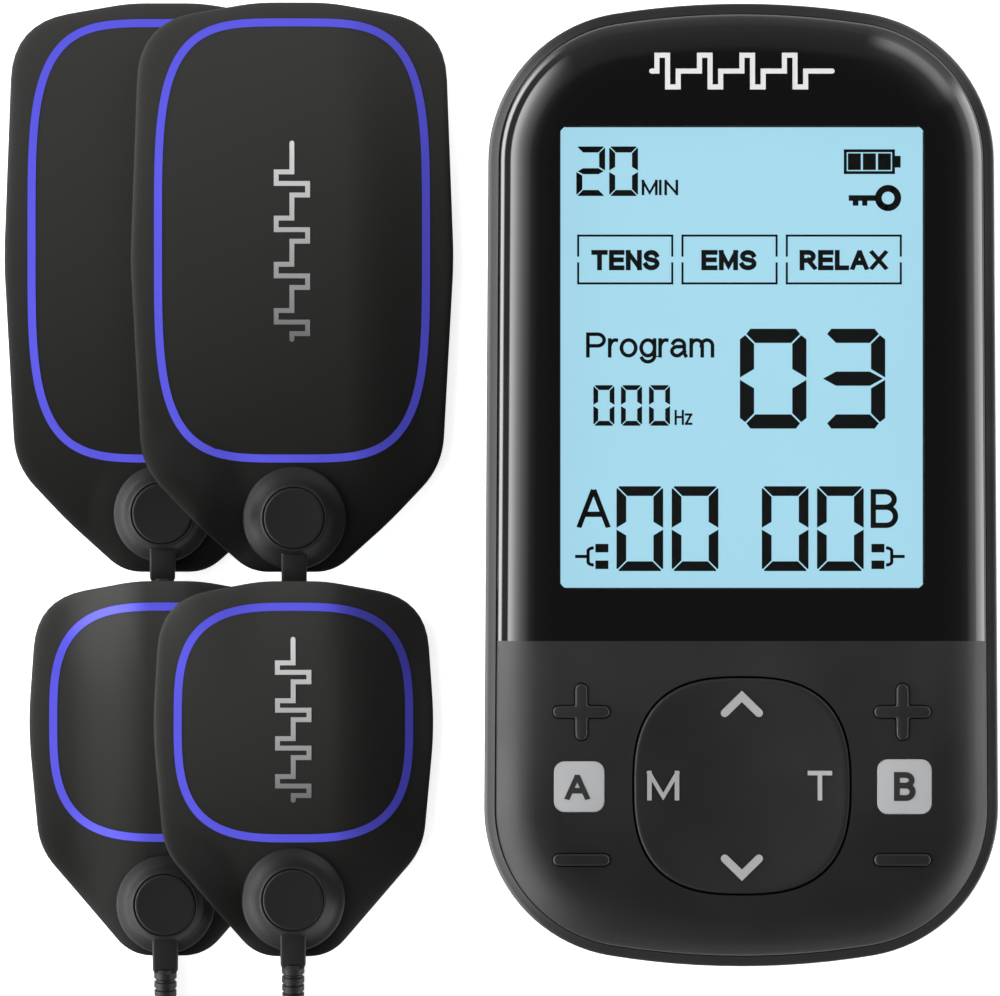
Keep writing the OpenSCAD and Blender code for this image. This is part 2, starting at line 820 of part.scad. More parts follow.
// A lead plug lying along Y with its pin towards -Y
module plug(x) {
    color("black") translate([x, plug_y, plug_z]) rotate([90, 0, 0]) rotate_extrude()
        polygon([[0, 0], [wire_d / 2 + 0.1, 0], [1.9, 7], [2.9, 7.6], [plug_z - 0.1, 9],
            [plug_z - 0.1, 19], [2.6, 20.4], [0, 20.4]]);
    color("silver") translate([x, plug_y - 20.4, plug_z]) rotate([90, 0, 0])
        cylinder(h = pin_l, r = pin_r);
}

module plug_a() {
    plug(plug_ax);
}

module plug_b() {
    plug(plug_bx);
}

rear_shell();
front_frame();
screen_panel();
keypad_panel();
display_window();
lcd_glass();
lcd_backlight();
lcd_frame();
lcd_ribbon();
main_pcb();
control_chip();
output_transformers();
storage_capacitors();
buzzer();
tact_switches();
keypad_mat();
output_jacks();
charge_socket();
battery_cell();
battery_foam();
battery_wires();
housing_screws();
channel_badges();
key_a_plus();
key_a_minus();
key_b_plus();
key_b_minus();
dpad_pivot_bar();
dpad_cap();
pad_large_back();
pad_large_front();
pad_small_back();
pad_small_front();
gel_large_back();
gel_large_front();
gel_small_back();
gel_small_front();
snap_studs();
snap_rings();
snap_caps();
snap_large_back();
snap_large_front();
snap_small_back();
snap_small_front();
strain_reliefs();
wire_large_back();
wire_large_front();
wire_small_back();
wire_small_front();
yoke_a();
yoke_b();
main_lead_a();
main_lead_b();
coil_a();
coil_b();
coil_ties();
plug_a();
plug_b();
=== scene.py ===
"""Looks of a two-channel TENS unit: controller, four electrode pads with press studs and two Y leads.

Everything is in metres in the frame of the CAD model: the controller's rear face is centred on the
origin, +Y runs towards its screen end and +Z up through its front. Shapes are worked out in
millimetres and scaled by MM when a mesh is made.
"""
import math

import bpy
import bmesh
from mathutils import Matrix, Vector
from mathutils.geometry import tessellate_polygon


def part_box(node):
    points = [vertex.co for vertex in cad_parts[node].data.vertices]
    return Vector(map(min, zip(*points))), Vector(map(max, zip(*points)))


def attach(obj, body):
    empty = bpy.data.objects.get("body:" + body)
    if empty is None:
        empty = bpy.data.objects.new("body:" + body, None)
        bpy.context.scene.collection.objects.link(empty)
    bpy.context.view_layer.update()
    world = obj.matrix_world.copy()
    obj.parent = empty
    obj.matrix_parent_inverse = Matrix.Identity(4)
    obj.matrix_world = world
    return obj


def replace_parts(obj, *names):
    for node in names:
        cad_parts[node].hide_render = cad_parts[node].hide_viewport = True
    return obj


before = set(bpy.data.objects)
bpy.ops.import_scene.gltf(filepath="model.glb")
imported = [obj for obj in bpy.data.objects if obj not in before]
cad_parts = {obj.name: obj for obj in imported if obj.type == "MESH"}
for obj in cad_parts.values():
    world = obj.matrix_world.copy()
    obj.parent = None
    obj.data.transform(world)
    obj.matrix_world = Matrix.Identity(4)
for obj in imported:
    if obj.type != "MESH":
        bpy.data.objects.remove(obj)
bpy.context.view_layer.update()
MM = 0.001


def box_mm(node):
    """The lowest and highest corners of a CAD node, in millimetres."""
    lo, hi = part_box(node)
    return Vector(lo) / MM, Vector(hi) / MM


# ---- Sizes taken from the frame ----

SHELL_LO, SHELL_HI = box_mm("rear_shell")
PANEL_LO, PANEL_HI = box_mm("screen_panel")
WINDOW_LO, WINDOW_HI = box_mm("display_window")
DPAD_LO, DPAD_HI = box_mm("dpad_cap")
UNIT_W = SHELL_HI.x - SHELL_LO.x
UNIT_L = SHELL_HI.y - SHELL_LO.y
UNIT_T = PANEL_HI.z
RIM_Z = SHELL_HI.z
SEAM_Y = PANEL_LO.y
TAPER = 1.0             # how much narrower the screen end is than the keypad end
CORNER_R = 18.5         # plan radius of the corners
END_R = 100.0           # and of the shallow curve across each end
RIM_W = 1.35            # width of the tub's rim round the front
LEDGE_Z = 15.4          # the ledge inside the rim, which carries the front
WINDOW_MID = (WINDOW_LO + WINDOW_HI) / 2
DPAD_MID = (DPAD_LO + DPAD_HI) / 2


# ---- Camera ----

def make_camera():
    """A long lens straight above, framing the controller, the pads and the first of the leads."""
    seen_w = 122.97 * MM        # width of the view at the height of the controller's front
    height = 1.6                # of the camera above that, in metres
    data = bpy.data.cameras.new("camera")
    data.sensor_width = 36
    data.lens = data.sensor_width * height / seen_w
    data.clip_start = 0.05
    data.clip_end = 30
    camera = bpy.data.objects.new("camera", data)
    camera.location = (-29.75 * MM, -1.6 * MM, height + UNIT_T * MM)
    bpy.context.collection.objects.link(camera)
    bpy.context.scene.camera = camera


make_camera()


# ---- Materials ----

def new_material(name, colour, roughness, metallic=0.0, **sockets):
    """A Principled material with its uniform values set on the shader's own sockets."""
    material = bpy.data.materials.new(name)
    material.use_nodes = True
    shader = material.node_tree.nodes["Principled BSDF"]
    shader.inputs["Base Color"].default_value = (*colour, 1)
    shader.inputs["Roughness"].default_value = roughness
    shader.inputs["Metallic"].default_value = metallic
    for socket, value in sockets.items():
        shader.inputs[socket.replace("_", " ")].default_value = value
    return material


def add_node(tree, kind, inputs=None, **settings):
    """A new node in a tree, with each input set to a value or linked to another node's output."""
    node = tree.nodes.new("ShaderNode" + kind)
    for setting, value in settings.items():
        setattr(node, setting, value)
    for socket, value in (inputs or {}).items():
        if isinstance(value, bpy.types.NodeSocket):
            tree.links.new(value, node.inputs[socket])
        else:
            node.inputs[socket].default_value = value
    return node


def add_ramp(tree, fac, stops):
    """The colour output of a ramp with stops of (position, colour)."""
    ramp = add_node(tree, "ValToRGB", {"Fac": fac})
    elements = ramp.color_ramp.elements
    while len(elements) < len(stops):
        elements.new(0.5)
    for element, (position, colour) in zip(elements, stops):
        element.position = position
        element.color = (*colour, 1)
    return ramp.outputs["Color"]


def shade(material, socket, output):
    """Links an output to one of the shader's sockets."""
    tree = material.node_tree
    tree.links.new(output, tree.nodes["Principled BSDF"].inputs[socket])


def add_noise(material, scale, detail, stretch=(1, 1, 1)):
    """A noise texture in the material, in object coordinates."""
    tree = material.node_tree
    coords = add_node(tree, "TexCoord").outputs["Object"]
    mapping = add_node(tree, "Mapping", {"Scale": stretch, "Vector": coords}).outputs["Vector"]
    noise = {"Scale": scale, "Detail": detail, "Vector": mapping}
    return add_node(tree, "TexNoise", noise).outputs["Fac"]


def add_grain(material, scale, height, stretch=(1, 1, 1)):
    """A fine bump over the surface. height is in metres."""
    noise = add_noise(material, scale, 4.0, stretch)
    bump = add_node(material.node_tree, "Bump", {"Strength": 1.0, "Distance": height, "Height": noise})
    shade(material, "Normal", bump.outputs["Normal"])


def vary(material, socket, low, high, scale):
    """Lets a noise run a socket between two values: floats, or colours."""
    if isinstance(low, float):
        low, high = (low,) * 3, (high,) * 3
    noise = add_noise(material, scale, 3.0)
    shade(material, socket, add_ramp(material.node_tree, noise, [(0.3, low), (0.7, high)]))


def plastic(name, colour, roughness, grain_mm=0.5, grain_h=0.004, spread=0.06, **sockets):
    """Moulded plastic: a fine spark-eroded grain and slightly uneven gloss."""
    material = new_material(name, colour, roughness, **sockets)
    add_grain(material, 1 / (grain_mm * MM), grain_h * MM)
    vary(material, "Roughness", roughness - spread, roughness + spread, 1 / (14 * MM))
    tint = tuple(c * 1.12 for c in colour)
    vary(material, "Base Color", colour, tint, 1 / (25 * MM))
    return material


def painted_shade_along_piece(material, low, high):
    """Lets the base colour run from one end of a piece (its lowest Y) to the other, as painted shade:
    the low tone, at the lowest Y, stands in for shade and the top tone for light.
    """
    tree = material.node_tree
    coords = add_node(tree, "TexCoord").outputs["Generated"]
    y = add_node(tree, "SeparateXYZ", {"Vector": coords}).outputs["Y"]
    # painted shade: a ramp from the low tone to the top tone along the piece's Y
    shade(material, "Base Color", add_ramp(tree, y, [(0, low), (1, high)]))


def painted_shade_finish(name, low, high, roughness, grain_mm, grain_h, specular):
    """A finely grained finish with painted shade: its tone lightens towards the top end of its piece,
    standing in for the light that falls there.
    """
    material = new_material(name, low, roughness, Specular_IOR_Level=specular)
    add_grain(material, 1 / (grain_mm * MM), grain_h * MM)
    vary(material, "Roughness", roughness - 0.06, roughness + 0.06, 1 / (14 * MM))
    # paints shade: the tone darkens towards the low end of the piece
    painted_shade_along_piece(material, low, high)
    return material


def metal(name, colour, roughness, stretch=(1, 1, 12)):
    """Drawn or turned metal: streaks along one axis and uneven gloss."""
    material = new_material(name, colour, roughness, metallic=1.0)
    add_grain(material, 1 / (0.6 * MM), 0.003 * MM, stretch=stretch)
    vary(material, "Roughness", roughness * 0.7, roughness * 1.4, 1 / (4 * MM))
    return material


def lit_panel(name, colour, strength):
    """The screen's backlit field: an even glow that varies a little across it."""
    material = new_material(name, (0.02, 0.03, 0.035), 0.35, Emission_Strength=strength)
    vary(material, "Emission Color", tuple(c * 0.97 for c in colour), colour, 1 / (30 * MM))
    return material


# Plastics: colour, roughness, then the grain's size and height in millimetres, and the gloss spread
PLASTICS = {
    "shell": ((0.009, 0.009, 0.0093), 0.30, 0.35, 0.002),
    "gloss": ((0.0032, 0.0032, 0.0034), 0.06, 2.5, 0.0003, 0.015),
    "frame": ((0.02, 0.02, 0.02), 0.55),
    "legend": ((0.285, 0.287, 0.29), 0.5, 0.3, 0.001),
    "badge": ((0.31, 0.315, 0.32), 0.45, 0.3, 0.002),
    "badge_letter": ((0.009, 0.009, 0.010), 0.5, 0.3, 0.001),
    "mark": ((0.58, 0.58, 0.58), 0.5, 0.3, 0.001),
    "diffuser": ((0.82, 0.85, 0.88), 0.5),
    "ribbon": ((0.50, 0.22, 0.04), 0.35),
    "board": ((0.01, 0.13, 0.05), 0.35, 1.2, 0.01),
    "chip": ((0.02, 0.02, 0.022), 0.6),
    "ferrite": ((0.10, 0.09, 0.085), 0.7),
    "silicone": ((0.22, 0.22, 0.23), 0.6, 0.8, 0.005),
    "foam": ((0.06, 0.06, 0.06), 0.9, 0.7, 0.06),
    "wire_red": ((0.45, 0.02, 0.02), 0.4),
    "strap": ((0.018, 0.018, 0.020), 0.85, 0.3, 0.05),
}
# Plastics whose gloss is turned down, with the specular level last
DULL_PLASTICS = {
    "key": ((0.0062, 0.0062, 0.0064), 0.46, 0.25, 0.007, 0.38),
    "segment": ((0.0022, 0.0024, 0.0024), 0.7, 0.4, 0.001, 0.1),
    "ring": ((0.078, 0.074, 0.58), 0.5, 0.3, 0.001, 0.2),
    "connector": ((0.0085, 0.0085, 0.0087), 0.48, 0.25, 0.002, 0.22),
    "wire": ((0.007, 0.007, 0.007), 0.42, 0.4, 0.003, 0.4),
}
# Finishes with painted shade, darker at the low end and lighter at the top end: tones at the low and the
# top end, roughness, grain size and height, specular level
PAINTED_SHADE_FINISHES = {
    # painted shade: the keypad panel is painted lighter towards the screen end and darker towards its
    # lower end
    "panel": ((0.0022,) * 3, (0.0115,) * 3, 0.46, 0.25, 0.011, 0.36),
    # painted shade: the pulse marks on the pads are painted lighter at their top end and greyer at their
    # low end
    "pad_mark": ((0.12,) * 3, (0.56,) * 3, 0.5, 0.3, 0.001, 0.5),
    # painted shade: each pad's cover is painted lighter towards its top end and darker towards its low
    # end
    "cover": ((0.0052, 0.0052, 0.0048), (0.032, 0.032, 0.0307), 0.6, 0.18, 0.004, 0.1),
}
# Metals: colour, roughness and which way the streaks run
METALS = {
    "foil": ((0.70, 0.71, 0.74), 0.35, (1, 1, 1)),
    "steel": ((0.60, 0.60, 0.61), 0.30),
    "aluminium": ((0.75, 0.75, 0.77), 0.28),
    "nickel": ((0.76, 0.74, 0.70), 0.18, (1, 12, 1)),
    "brass": ((0.75, 0.55, 0.22), 0.25),
}


def clear_window():
    """A thin clear acrylic window: nearly invisible from above, glossy at its faces."""
    material = new_material("window", (0.01, 0.012, 0.014), 0.03, Alpha=0.05, IOR=1.49)
    add_grain(material, 1 / (6 * MM), 0.0003 * MM)
    return material


MATERIALS = {name: plastic(name, *values) for name, values in PLASTICS.items()}
for name, (*values, level) in DULL_PLASTICS.items():
    MATERIALS[name] = plastic(name, *values, Specular_IOR_Level=level)
MATERIALS |= {name: painted_shade_finish(name, *values) for name, values in PAINTED_SHADE_FINISHES.items()}
MATERIALS |= {name: metal(name, *values) for name, values in METALS.items()}
MATERIALS["lcd"] = lit_panel("lcd", (0.385, 0.715, 0.865), 1.05)
MATERIALS["gel"] = plastic("gel", (0.62, 0.66, 0.66), 0.25, 2.0, 0.01, Subsurface_Weight=0.3,
                           Subsurface_Radius=(0.002, 0.002, 0.002))
MATERIALS["window"] = clear_window()


# ---- Mesh helpers: points are in millimetres ----

def link_mesh(name, points, faces, material, body="unit", sharp=35.0):
    """A mesh object from points and faces, smooth except at edges sharper than the angle given."""
    mesh = bpy.data.meshes.new(name)
    mesh.from_pydata([Vector(p) * MM for p in points], [], faces)
    bm = bmesh.new()
    bm.from_mesh(mesh)
    bmesh.ops.remove_doubles(bm, verts=bm.verts, dist=1e-7)
    bmesh.ops.recalc_face_normals(bm, faces=bm.faces)
    bm.to_mesh(mesh)
    bm.free()
    mesh.shade_smooth()
    mesh.set_sharp_from_angle(angle=math.radians(sharp))
    mesh.materials.append(MATERIALS[material])
    piece = bpy.data.objects.new(name, mesh)
    bpy.context.collection.objects.link(piece)
    if body:
        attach(piece, body)
    return piece


def side_faces(count, n, start=0):
    """Faces up the sides of a stack of rings of n points each, the first at index start."""
    firsts = [start + k * n for k in range(count - 1)]
    return [(a + i, a + (i + 1) % n, a + n + (i + 1) % n, a + n + i) for a in firsts for i in range(n)]


def joined(name, solids, material, body="unit", sharp=35.0):
    """One mesh from several solids, each a stack of rings of equal length."""
    points, faces = [], []
    for rings in solids:
        n, start = len(rings[0]), len(points)
        last = start + (len(rings) - 1) * n
        faces += side_faces(len(rings), n, start)
        faces += [tuple(start + i for i in reversed(range(n))), tuple(last + i for i in range(n))]
        points += [p for ring in rings for p in ring]
    return link_mesh(name, points, faces, material, body, sharp)


def loft(name, rings, material, body="unit", sharp=35.0):
    """A solid through one stack of rings."""
    return joined(name, [rings], material, body, sharp)


def band(name, rings, material):
    """A closed band through four rings, the last joined to the first."""
    n = len(rings[0])
    faces = side_faces(len(rings), n)
    faces += [(3 * n + i, 3 * n + (i + 1) % n, (i + 1) % n, i) for i in range(n)]
    return link_mesh(name, [p for ring in rings for p in ring], faces, material)


def cutter(rings):
    """A solid that is only there to be cut out of a piece."""
    return loft("cutter", rings, "frame", body=None)


def prism(outline, z0, z1):
    """An upright cutter of an outline."""
    return cutter([at_height(outline, z) for z in (z0, z1)])


def cut(piece, cutters):
    """Takes the cutters out of the piece for good, and deletes them."""
    for tool in cutters:
        modifier = piece.modifiers.new("cut", "BOOLEAN")
        modifier.operation = "DIFFERENCE"
        modifier.solver = "EXACT"
        modifier.object = tool
    bpy.context.view_layer.update()
    graph = bpy.context.evaluated_depsgraph_get()
    mesh = bpy.data.meshes.new_from_object(piece.evaluated_get(graph))
    piece.modifiers.clear()
    old = piece.data
    piece.data = mesh
    bpy.data.meshes.remove(old)
    for tool in cutters:
        bpy.data.objects.remove(tool, do_unlink=True)
    mesh.shade_smooth()
    mesh.set_sharp_from_angle(angle=math.radians(35))


def turned(profile, steps=64):
    """Rings about Z from a profile of (radius, height) points."""
    circle = [(math.cos(2 * math.pi * i / steps), math.sin(2 * math.pi * i / steps))
              for i in range(steps)]
    return [[(r * c, r * s, z) for c, s in circle] for r, z in profile]


def placed(rings, move, along=None):
    """Rings moved to a place, and their Z turned to lie along a direction."""
    turn = Vector((0, 0, 1)).rotation_difference(Vector(along)) if along else None
    move = Vector(move)
    return [[tuple(((turn @ Vector(p)) if turn else Vector(p)) + move) for p in ring] for ring in rings]


# ---- Outlines ----

def arc(cx, cy, r, start, end, steps):
    """Points on an arc, with its angles in degrees."""
    angles = [math.radians(start + (end - start) * i / steps) for i in range(steps + 1)]
    return [(cx + r * math.cos(a), cy + r * math.sin(a)) for a in angles]


def unit_outline(inset, part=0, steps=20):
    """The controller's outline drawn inwards by inset: all of it, or the part above the seam (1)
    or below it (-1)."""
    reach = END_R - CORNER_R
    top_x = (UNIT_W - TAPER) / 2 - CORNER_R
    low_x = UNIT_W / 2 - CORNER_R
    top_a = math.degrees(math.acos(top_x / reach))
    low_a = math.degrees(math.acos(low_x / reach))
    top_y = UNIT_L / 2 - END_R
    top_cy = top_y + reach * math.sin(math.radians(top_a))
    low_cy = -top_y - reach * math.sin(math.radians(low_a))
    r, end, skip = CORNER_R - inset, END_R - inset, 1.5
    seam_x = r + top_x + (low_x - top_x) * (top_cy - SEAM_Y) / (top_cy - low_cy)
    top = (arc(top_x, top_cy, r, 0, top_a, steps)
           + arc(0, top_y, end, top_a + skip, 180 - top_a - skip, 10)
           + arc(-top_x, top_cy, r, 180 - top_a, 180, steps))
    low = (arc(-low_x, low_cy, r, 180, 180 + low_a, steps)
           + arc(0, -top_y, end, 180 + low_a + skip, 360 - low_a - skip, 10)
           + arc(low_x, low_cy, r, 360 - low_a, 360, steps))
    if part == 1:
        return [(seam_x, SEAM_Y)] + top + [(-seam_x, SEAM_Y)]
    if part == -1:
        return [(-seam_x, SEAM_Y)] + low + [(seam_x, SEAM_Y)]
    return top + low


def squircle(a, b, n, steps=96):
    """The curve |x/a|^n + |y/b|^n = 1."""
    points = []
    for i in range(steps):
        c, s = math.cos(2 * math.pi * i / steps), math.sin(2 * math.pi * i / steps)
        points.append((a * math.copysign(abs(c) ** (2 / n), c), b * math.copysign(abs(s) ** (2 / n), s)))
    return points


def rounded_box(w, h, r, steps=8):
    """A rectangle with round corners, centred on the origin."""
    x, y = w / 2 - r, h / 2 - r
    corners = ((x, y, 0), (-x, y, 90), (-x, -y, 180), (x, -y, 270))
    return [p for cx, cy, a in corners for p in arc(cx, cy, r, a, a + 90, steps)]


def shifted(outline, dx, dy):
    """An outline moved in its plane."""
    return [(x + dx, y + dy) for x, y in outline]


def at_height(outline, z):
    """An outline as a ring of points at one height."""
    return [(x, y, z) for x, y in outline]


# ---- Cords: routes repeat the CAD model's, in millimetres ----

WIRE_D = 2.0
MIRROR_X = -63.5        # lead b mirrors lead a about this X
RESTING_Z = 1.05        # of a wire's middle where it lies on the table


def mirrored(points):
    """Points of lead a's side carried over to lead b's."""
    return [(2 * MIRROR_X - x, *rest) for x, *rest in points]


def lead_x(lead, x):
    """The X of something on a lead, from its X on lead a."""
    return x if lead == "a" else 2 * MIRROR_X - x


# The wires from the pads to the yokes: a point with no height lies on the table
SMALL_LOOP = [(-82, -87), (-88, -87.8), (-94, -89.4), (-98.4, -93.4), (-99.4, -99), (-96.4, -104),
              (-91, -105.6), (-86, -103), (-81.6, -100.4), (-77.6, -102.2), (-76.2, -107),
              (-76, -112, 1.6)]
ROUTES = {
    "wire_large_back": [
        (-71.4, -26), (-71.4, -32), (-71.4, -38), (-71.4, -44), (-71.4, -50), (-71.4, -56),
        (-71.2, -62), (-70.4, -68), (-69, -74), (-68, -80), (-67.8, -86), (-68.6, -92),
        (-70.4, -98), (-72, -103), (-72.9, -108), (-73, -112, 1.6)],
    "wire_large_front": [
        (-55.4, -27, 3.35), (-55.4, -33, 3.3), (-55.4, -39, 3.3), (-55.4, -45, 3.2),
        (-55.4, -50, 2.4), (-55.4, -56, 1.3), (-55.6, -62), (-56.4, -68), (-58, -74), (-59.2, -80),
        (-59.4, -86), (-58.6, -92), (-56.8, -98), (-55.2, -103), (-54.2, -108), (-54, -112, 1.6)],
    "wire_small_back": [(-71.3, -74.5, 2.6), (-72.6, -80, 1.5), (-76.4, -84.6)] + SMALL_LOOP,
    "wire_small_front": [
        (-55.4, -74.5, 4.2), (-54.2, -80, 2.4), (-50.6, -84.6, 1.2)] + mirrored(SMALL_LOOP),
}
ROUTES = {name: [(*point, RESTING_Z)[:3] for point in route] for name, route in ROUTES.items()}
# Lead a on both sides of its coil
LEAD_IN = [(-74.5, -122, 1.6), (-74.5, -128, 1.3), (-74.5, -134, 1.7)]
LEAD_OUT = [(-83, -125.9, 7.4), (-77, -126.1, 5.6), (-72, -127.6, 4), (-69, -131.4, 3.4),
            (-68, -137, 3.4)]
COIL_X, COIL_Y = -88.5, -140.0
COIL_LAYERS = 4
COIL_ROWS = 4
COIL_MID_R = 11.0
COIL_LIFT = 0.8         # how high the strap under the coil lifts it
STEPS_PER_TURN = 24


def cord_curve(name, points, radius=0.0, resolution=6):
    """Curve data with one smooth open spline through points in millimetres."""
    data = bpy.data.curves.new(name, "CURVE")
    data.dimensions = "3D"
    data.bevel_depth = radius * MM
    data.bevel_resolution = 5
    data.use_fill_caps = True
    data.resolution_u = resolution
    spline = data.splines.new("BEZIER")
    spline.bezier_points.add(len(points) - 1)
    for point, place in zip(spline.bezier_points, points):
        point.co = Vector(place) * MM
        point.handle_left_type = point.handle_right_type = "AUTO"
    return data


def cord_length(points):
    """The length in metres of the smooth curve through points."""
    data = cord_curve("ruler", points, resolution=12)
    length = data.splines[0].calc_length()
    bpy.data.curves.remove(data)
    return length


def make_cord(name, points, nodes):
    """A wire through points in millimetres, in place of its CAD nodes."""
    data = cord_curve(name, points, WIRE_D / 2)
    data.materials.append(MATERIALS["wire"])
    piece = bpy.data.objects.new(name, data)
    bpy.context.collection.objects.link(piece)
    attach(piece, "unit")
    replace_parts(piece, *nodes)
    [c * MM for c in points[0]]
    cord_length(points)


def coil_points():
    """The wound part of lead a: rows in and out, layer on layer, a diameter apart."""
    outer = COIL_MID_R + (COIL_ROWS - 1) * WIRE_D / 2
    total = COIL_LAYERS * COIL_ROWS - 0.25
    count = int(total * STEPS_PER_TURN)
    points = []
    for i in range(count + 1):
        turns = total * i / count
        layer = min(int(turns / COIL_ROWS), COIL_LAYERS - 1)
        row = turns - layer * COIL_ROWS
        step = min(max(row - 0.5, 0), COIL_ROWS - 1)
        inward = step if layer % 2 == 0 else COIL_ROWS - 1 - step
        climb = min(max((row - (COIL_ROWS - 0.5)) * 2, 0), 1) if layer < COIL_LAYERS - 1 else 0
        r = outer - inward * WIRE_D
        z = COIL_LIFT + WIRE_D / 2 + (layer + climb) * WIRE_D
        angle = -math.radians(360 * turns)
        points.append((COIL_X + r * math.cos(angle), COIL_Y + r * math.sin(angle), z))
    return points


def make_branches():
    """The four wires from the strain reliefs to the yokes."""
    for name, route in ROUTES.items():
        make_cord(name + "_cord", route, [name])


def make_main_leads():
    """Each main lead: out of its yoke, round its coil and into its plug."""
    lead_a = LEAD_IN + coil_points() + LEAD_OUT
    for lead, points in (("a", lead_a), ("b", mirrored(lead_a))):
        make_cord("main_lead_%s_cord" % lead, points, ["main_lead_" + lead, "coil_" + lead])


YOKE_X, YOKE_Y = -74.5, -117
# The yoke's rings: Y from its middle, half width, half height and the height of the middle
YOKE = ((5, 2.7, 1.3, 1.7), (4.6, 3.0, 1.55, 1.7), (1, 3.0, 1.65, 1.7), (-1.5, 2.5, 1.6, 1.68),
        (-4.2, 1.5, 1.35, 1.62), (-5, 1.2, 1.15, 1.6))


def make_yokes():
    """The mouldings where the main leads split: two wires in at the top, one out below."""
    for lead in "ab":
        rings = []
        for y, half_w, half_h, mid_z in YOKE:
            ring = rounded_box(2 * half_w, 2 * half_h, min(half_w, half_h) * 0.8, 5)
            rings.append([(lead_x(lead, YOKE_X) + u, YOKE_Y + y, mid_z + v) for u, v in ring])
        piece = loft("yoke_%s_body" % lead, rings, "connector")
        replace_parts(piece, "yoke_" + lead)


STRAP_T = 0.68
STRAP_HALF_W = 1.95


def make_coil_ties():
    """A woven hook strap round one side of each bundle."""
    half = COIL_LAYERS * WIRE_D / 2
    inner, outer = COIL_MID_R - half - 0.6, COIL_MID_R + half + 0.1
    mid = (inner + outer) / 2
    top = 2 * half + COIL_LIFT + 0.1
    for lead, angle in (("a", 200), ("b", -20)):
        c, s = math.cos(math.radians(angle)), math.sin(math.radians(angle))
        cx = lead_x(lead, COIL_X)
        rings = []
        for grow, side in ((STRAP_T, -1), (STRAP_T, 1), (0, 1), (0, -1)):
            outline = rounded_box(outer - inner + 2 * grow, top - COIL_LIFT + 2 * grow, 0.9, 5)
            y = side * STRAP_HALF_W
            rings.append([(cx + (mid + u) * c - y * s, COIL_Y + (mid + u) * s + y * c,
                           (top + COIL_LIFT) / 2 + v) for u, v in outline])
        piece = band("coil_tie_" + lead, rings, "strap")
        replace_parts(piece, "coil_ties")


# The plug's pin and the two ends of its body: (radius, height) from where the lead goes in
PIN = [(1.2, 20.35), (1.2, 25.2), (1.02, 25.3), (1.02, 25.7), (1.2, 25.8), (1.2, 28.6), (0.9, 29.4),
       (0.45, 29.85)]
PLUG_NECK = [(2.6, 7.2), (3.1, 8.2), (3.28, 9.2)]
PLUG_NOSE = [(3.28, 19.1), (2.9, 19.8), (2.55, 20.2), (2.2, 20.4)]


def make_plugs():
    """Moulded plugs with ribbed tails and turned pins."""
    grips = []
    for i in range(5):
        z = 10.4 + 1.7 * i
        grips += [(3.28, z), (3.28, z + 0.9), (3.0, z + 1.1), (3.0, z + 1.5)]
    body = ([(1.12, 0), (1.35, 0.3)] + relief_ribs(0.6, 6.8, 1.4, 1.95, 4) + PLUG_NECK + grips
            + PLUG_NOSE)
    x, y, z = LEAD_OUT[-1]
    for lead in "ab":
        end = (lead_x(lead, x), y, z)
        for part, profile, steps, finish in (("body", body, 48, "connector"),
                                             ("pin", PIN, 40, "nickel")):
            rings = placed(turned(profile, steps), end, (0, -1, 0))
            piece = loft("plug_%s_%s" % (lead, part), rings, finish)
            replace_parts(piece, "plug_" + lead)


def relief_ribs(z0, z1, r0, r1, count):
    """The profile of a ribbed sleeve from z0 to z1 that widens from r0 to r1: (radius, height)."""
    pitch = (z1 - z0) / count
    profile = []
    for i in range(count):
        z = z0 + pitch * i
        r = r0 + (r1 - r0) * (i + 0.5) / count
        profile += [(r - 0.22, z), (r - 0.22, z + pitch * 0.22), (r, z + pitch * 0.3),
                    (r, z + pitch * 0.92), (r - 0.22, z + pitch * 0.99)]
    return profile


def make_reliefs():
    """The ribbed sleeves between the connectors' necks and the wires."""
    for name, pad in PADS.items():
        x, y = pad["stud"]
        start = Vector((x, y - 8.35, pad["lift"] + PAD_T + 1.25))
        end = Vector(ROUTES["wire_" + name][0])
        length = (end - start).length
        count = round(length / 1.15)
        profile = ([(1.1, -0.4), (1.42, 0.0), (1.42, 0.7)]
                   + relief_ribs(0.9, length - 0.7, 1.42, 1.12, count)
                   + [(1.06, length - 0.5), (1.05, length)])
        piece = loft("relief_" + name, placed(turned(profile, 32), start, end - start), "connector")
        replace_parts(piece, "strain_reliefs")


# ---- Electrode pads: millimetres, as the CAD model lays them ----

PAD_T = 2.2
GEL_T = 0.9
EDGE_DROP = 0.6         # how much thinner a pad is at its edge
# The right half of each size of pad, from the middle of its top end down: (x, y, corner radius)
LARGE_HALF = [(4.5, 60, 25), (19, 57.5, 13), (20.1, 28, 60), (18.7, 2.4, 10), (12.2, -4.5, 60),
              (5.2, -10.8, 6)]
SMALL_HALF = [(4, -11.9, 22), (16.4, -14.2, 10), (17.5, -30, 50), (16.1, -45.2, 9), (4.6, -58.5, 6)]
# Each pad's middle in X, where its outline shrinks to in Y, its stud, the radius of its connector's
# foot, and how high what lies under the stud lifts it
PADS = {
    "large_back": dict(x=-71.4, half=LARGE_HALF, mid=27.0, stud=(-71.7, -3.5), base=6.1, lift=0.0),
    "large_front": dict(x=-55.6, half=LARGE_HALF, mid=27.0, stud=(-55.3, -4.1), base=6.4,
                        lift=2.4),
    "small_back": dict(x=-71.0, half=SMALL_HALF, mid=-33.0, stud=(-71.3, -52.1), base=6.1,
                       lift=2.1),
    "small_front": dict(x=-55.4, half=SMALL_HALF, mid=-33.0, stud=(-55.4, -51.4), base=6.4,
                        lift=4.5),
}
# The printed loop on each size of pad: half width, half height, exponent, middle Y
LOOPS = {"large": (17.15, 27.6, 4.0, 30.4), "small": (14.85, 14.88, 3.15, -29.45)}
LOOP_W = 1.0
